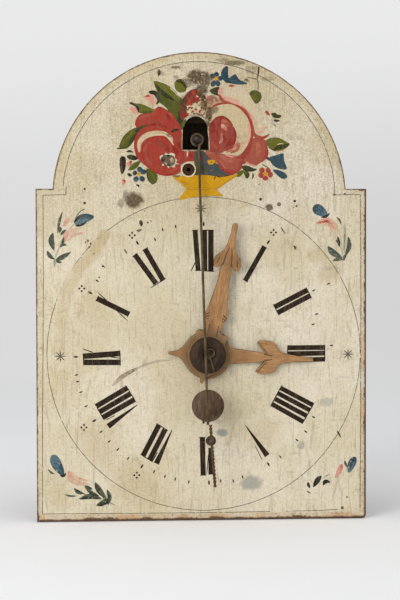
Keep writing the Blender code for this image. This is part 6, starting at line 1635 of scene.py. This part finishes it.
class CLOCK_OT_stage(PieceOperator, bpy.types.Operator):
    """Pale floor, soft light, background and the camera"""

    bl_idname = "clock.stage"
    bl_label = "Stage"

    def build(self, s):
        scene = bpy.context.scene
        scene.view_settings.view_transform = "Standard"
        self.floor(s.stage)
        self.world(s.stage)
        self.lamps(s.stage)
        self.camera()

    def floor(self, stage):
        bm = bmesh.new()
        bmesh.ops.create_circle(bm, cap_ends=True, segments=96, radius=4.0,
                                matrix=Matrix.Translation((0, 0, BOARD_LOW.z * MM - 0.0004)))
        mesh = bpy.data.meshes.new("floor")
        bm.to_mesh(mesh)
        bm.free()
        floor = bpy.data.objects.new("floor", mesh)
        bpy.context.scene.collection.objects.link(floor)
        f = Finish("floor")
        x, y = f.axis("X"), f.axis("Y")
        far = f.ramp((x * x + y * y) ** 0.5, 350, 1500)
        diffuse = f.add("ShaderNodeBsdfDiffuse", None, {"Color": stage.floor})
        horizon = self.horizon(f, stage, x, -120, 620)
        glow = f.add("ShaderNodeEmission", None, {"Color": horizon, "Strength": 1.0})
        shader = f.add("ShaderNodeMixShader", None, {0: far, 1: diffuse, 2: glow})
        f.add("ShaderNodeOutputMaterial", None, {"Surface": shader})
        mesh.materials.append(f.material)

    def horizon(self, f, stage, across, left, right):
        return f.mix(f.ramp(across, left, right), stage.horizon_left, stage.horizon_right)

    def world(self, stage):
        world = bpy.data.worlds.new("studio")
        bpy.context.scene.world = world
        world.use_nodes = True
        f = Finish("studio", world.node_tree)
        way = f.add("ShaderNodeTexCoord", None, None, "Generated")
        across, up = (f.add("ShaderNodeSeparateXYZ", None, {0: way}, name) for name in "XZ")
        sky = f.mix(f.ramp(up, 0.0, 0.15), self.horizon(f, stage, across, -0.06, 0.19), stage.above)
        path = [f.add("ShaderNodeLightPath", None, None, name)
                for name in ("Is Camera Ray", "Is Glossy Ray", "Is Transmission Ray")]
        seen = path[0].most(path[1]).most(path[2])
        even = f.add("ShaderNodeBackground", None, {"Color": (1.0, 1.0, 1.0), "Strength": stage.fill})
        shown = f.add("ShaderNodeBackground", None, {"Color": sky, "Strength": 1.0})
        shader = f.add("ShaderNodeMixShader", None, {0: seen, 1: even, 2: shown})
        f.add("ShaderNodeOutputWorld", None, {"Surface": shader})

    def lamps(self, stage):
        for name, power, spot, aim in (("key", stage.key, (-1.15, -1.65, 0.5), (0, -0.1, 0.03)),
                                       ("overhead", stage.top, (0, -0.45, 1.3), (0, -0.45, 0))):
            light = bpy.data.lights.new(name, "AREA")
            light.shape, light.size, light.energy = "DISK", 1.2, power
            lamp = bpy.data.objects.new(name, light)
            lamp.location = spot
            lamp.rotation_euler = (Vector(aim) - Vector(spot)).to_track_quat("-Z", "Y").to_euler()
            lamp.visible_camera = False
            bpy.context.scene.collection.objects.link(lamp)

    def camera(self):
        data = bpy.data.cameras.new("camera")
        data.sensor_fit = "VERTICAL"
        data.sensor_width = data.sensor_height = SENSOR
        data.lens = LENS
        camera = bpy.data.objects.new("camera", data)
        turn = Matrix((Vector(SIDE), Vector(TOP), -Vector(AHEAD))).transposed().to_4x4()
        camera.matrix_world = Matrix.Translation([place * MM for place in CAMERA]) @ turn
        bpy.context.scene.collection.objects.link(camera)
        bpy.context.scene.camera = camera


class CLOCK_PT_panel(bpy.types.Panel):
    """The clock's pieces in the order they are made"""

    bl_idname = "CLOCK_PT_panel"
    bl_label = "Shield Clock"
    bl_space_type = "VIEW_3D"
    bl_region_type = "UI"
    bl_category = "Clock"

    def draw(self, context):
        for operator in OPERATORS:
            self.layout.operator(operator.bl_idname)


OPERATORS = (CLOCK_OT_shield, CLOCK_OT_dial_lines, CLOCK_OT_numerals, CLOCK_OT_bouquet, CLOCK_OT_sprays,
             CLOCK_OT_marks, CLOCK_OT_hands, CLOCK_OT_pendulum, CLOCK_OT_case, CLOCK_OT_stage)
CLASSES = (CLOCK_PG_board, CLOCK_PG_paint, CLOCK_PG_works, CLOCK_PG_stage, CLOCK_PG_settings, *OPERATORS,
           CLOCK_PT_panel)


def register():
    for cls in CLASSES:
        bpy.utils.register_class(cls)
    bpy.types.Scene.shield_clock = PointerProperty(type=CLOCK_PG_settings)


def unregister():
    del bpy.types.Scene.shield_clock
    for cls in reversed(CLASSES):
        bpy.utils.unregister_class(cls)


def main():
    """Makes every piece."""
    register()
    for operator in OPERATORS:
        group, name = operator.bl_idname.split(".")
        getattr(getattr(bpy.ops, group), name)()


if __name__ == "__main__":
    main()
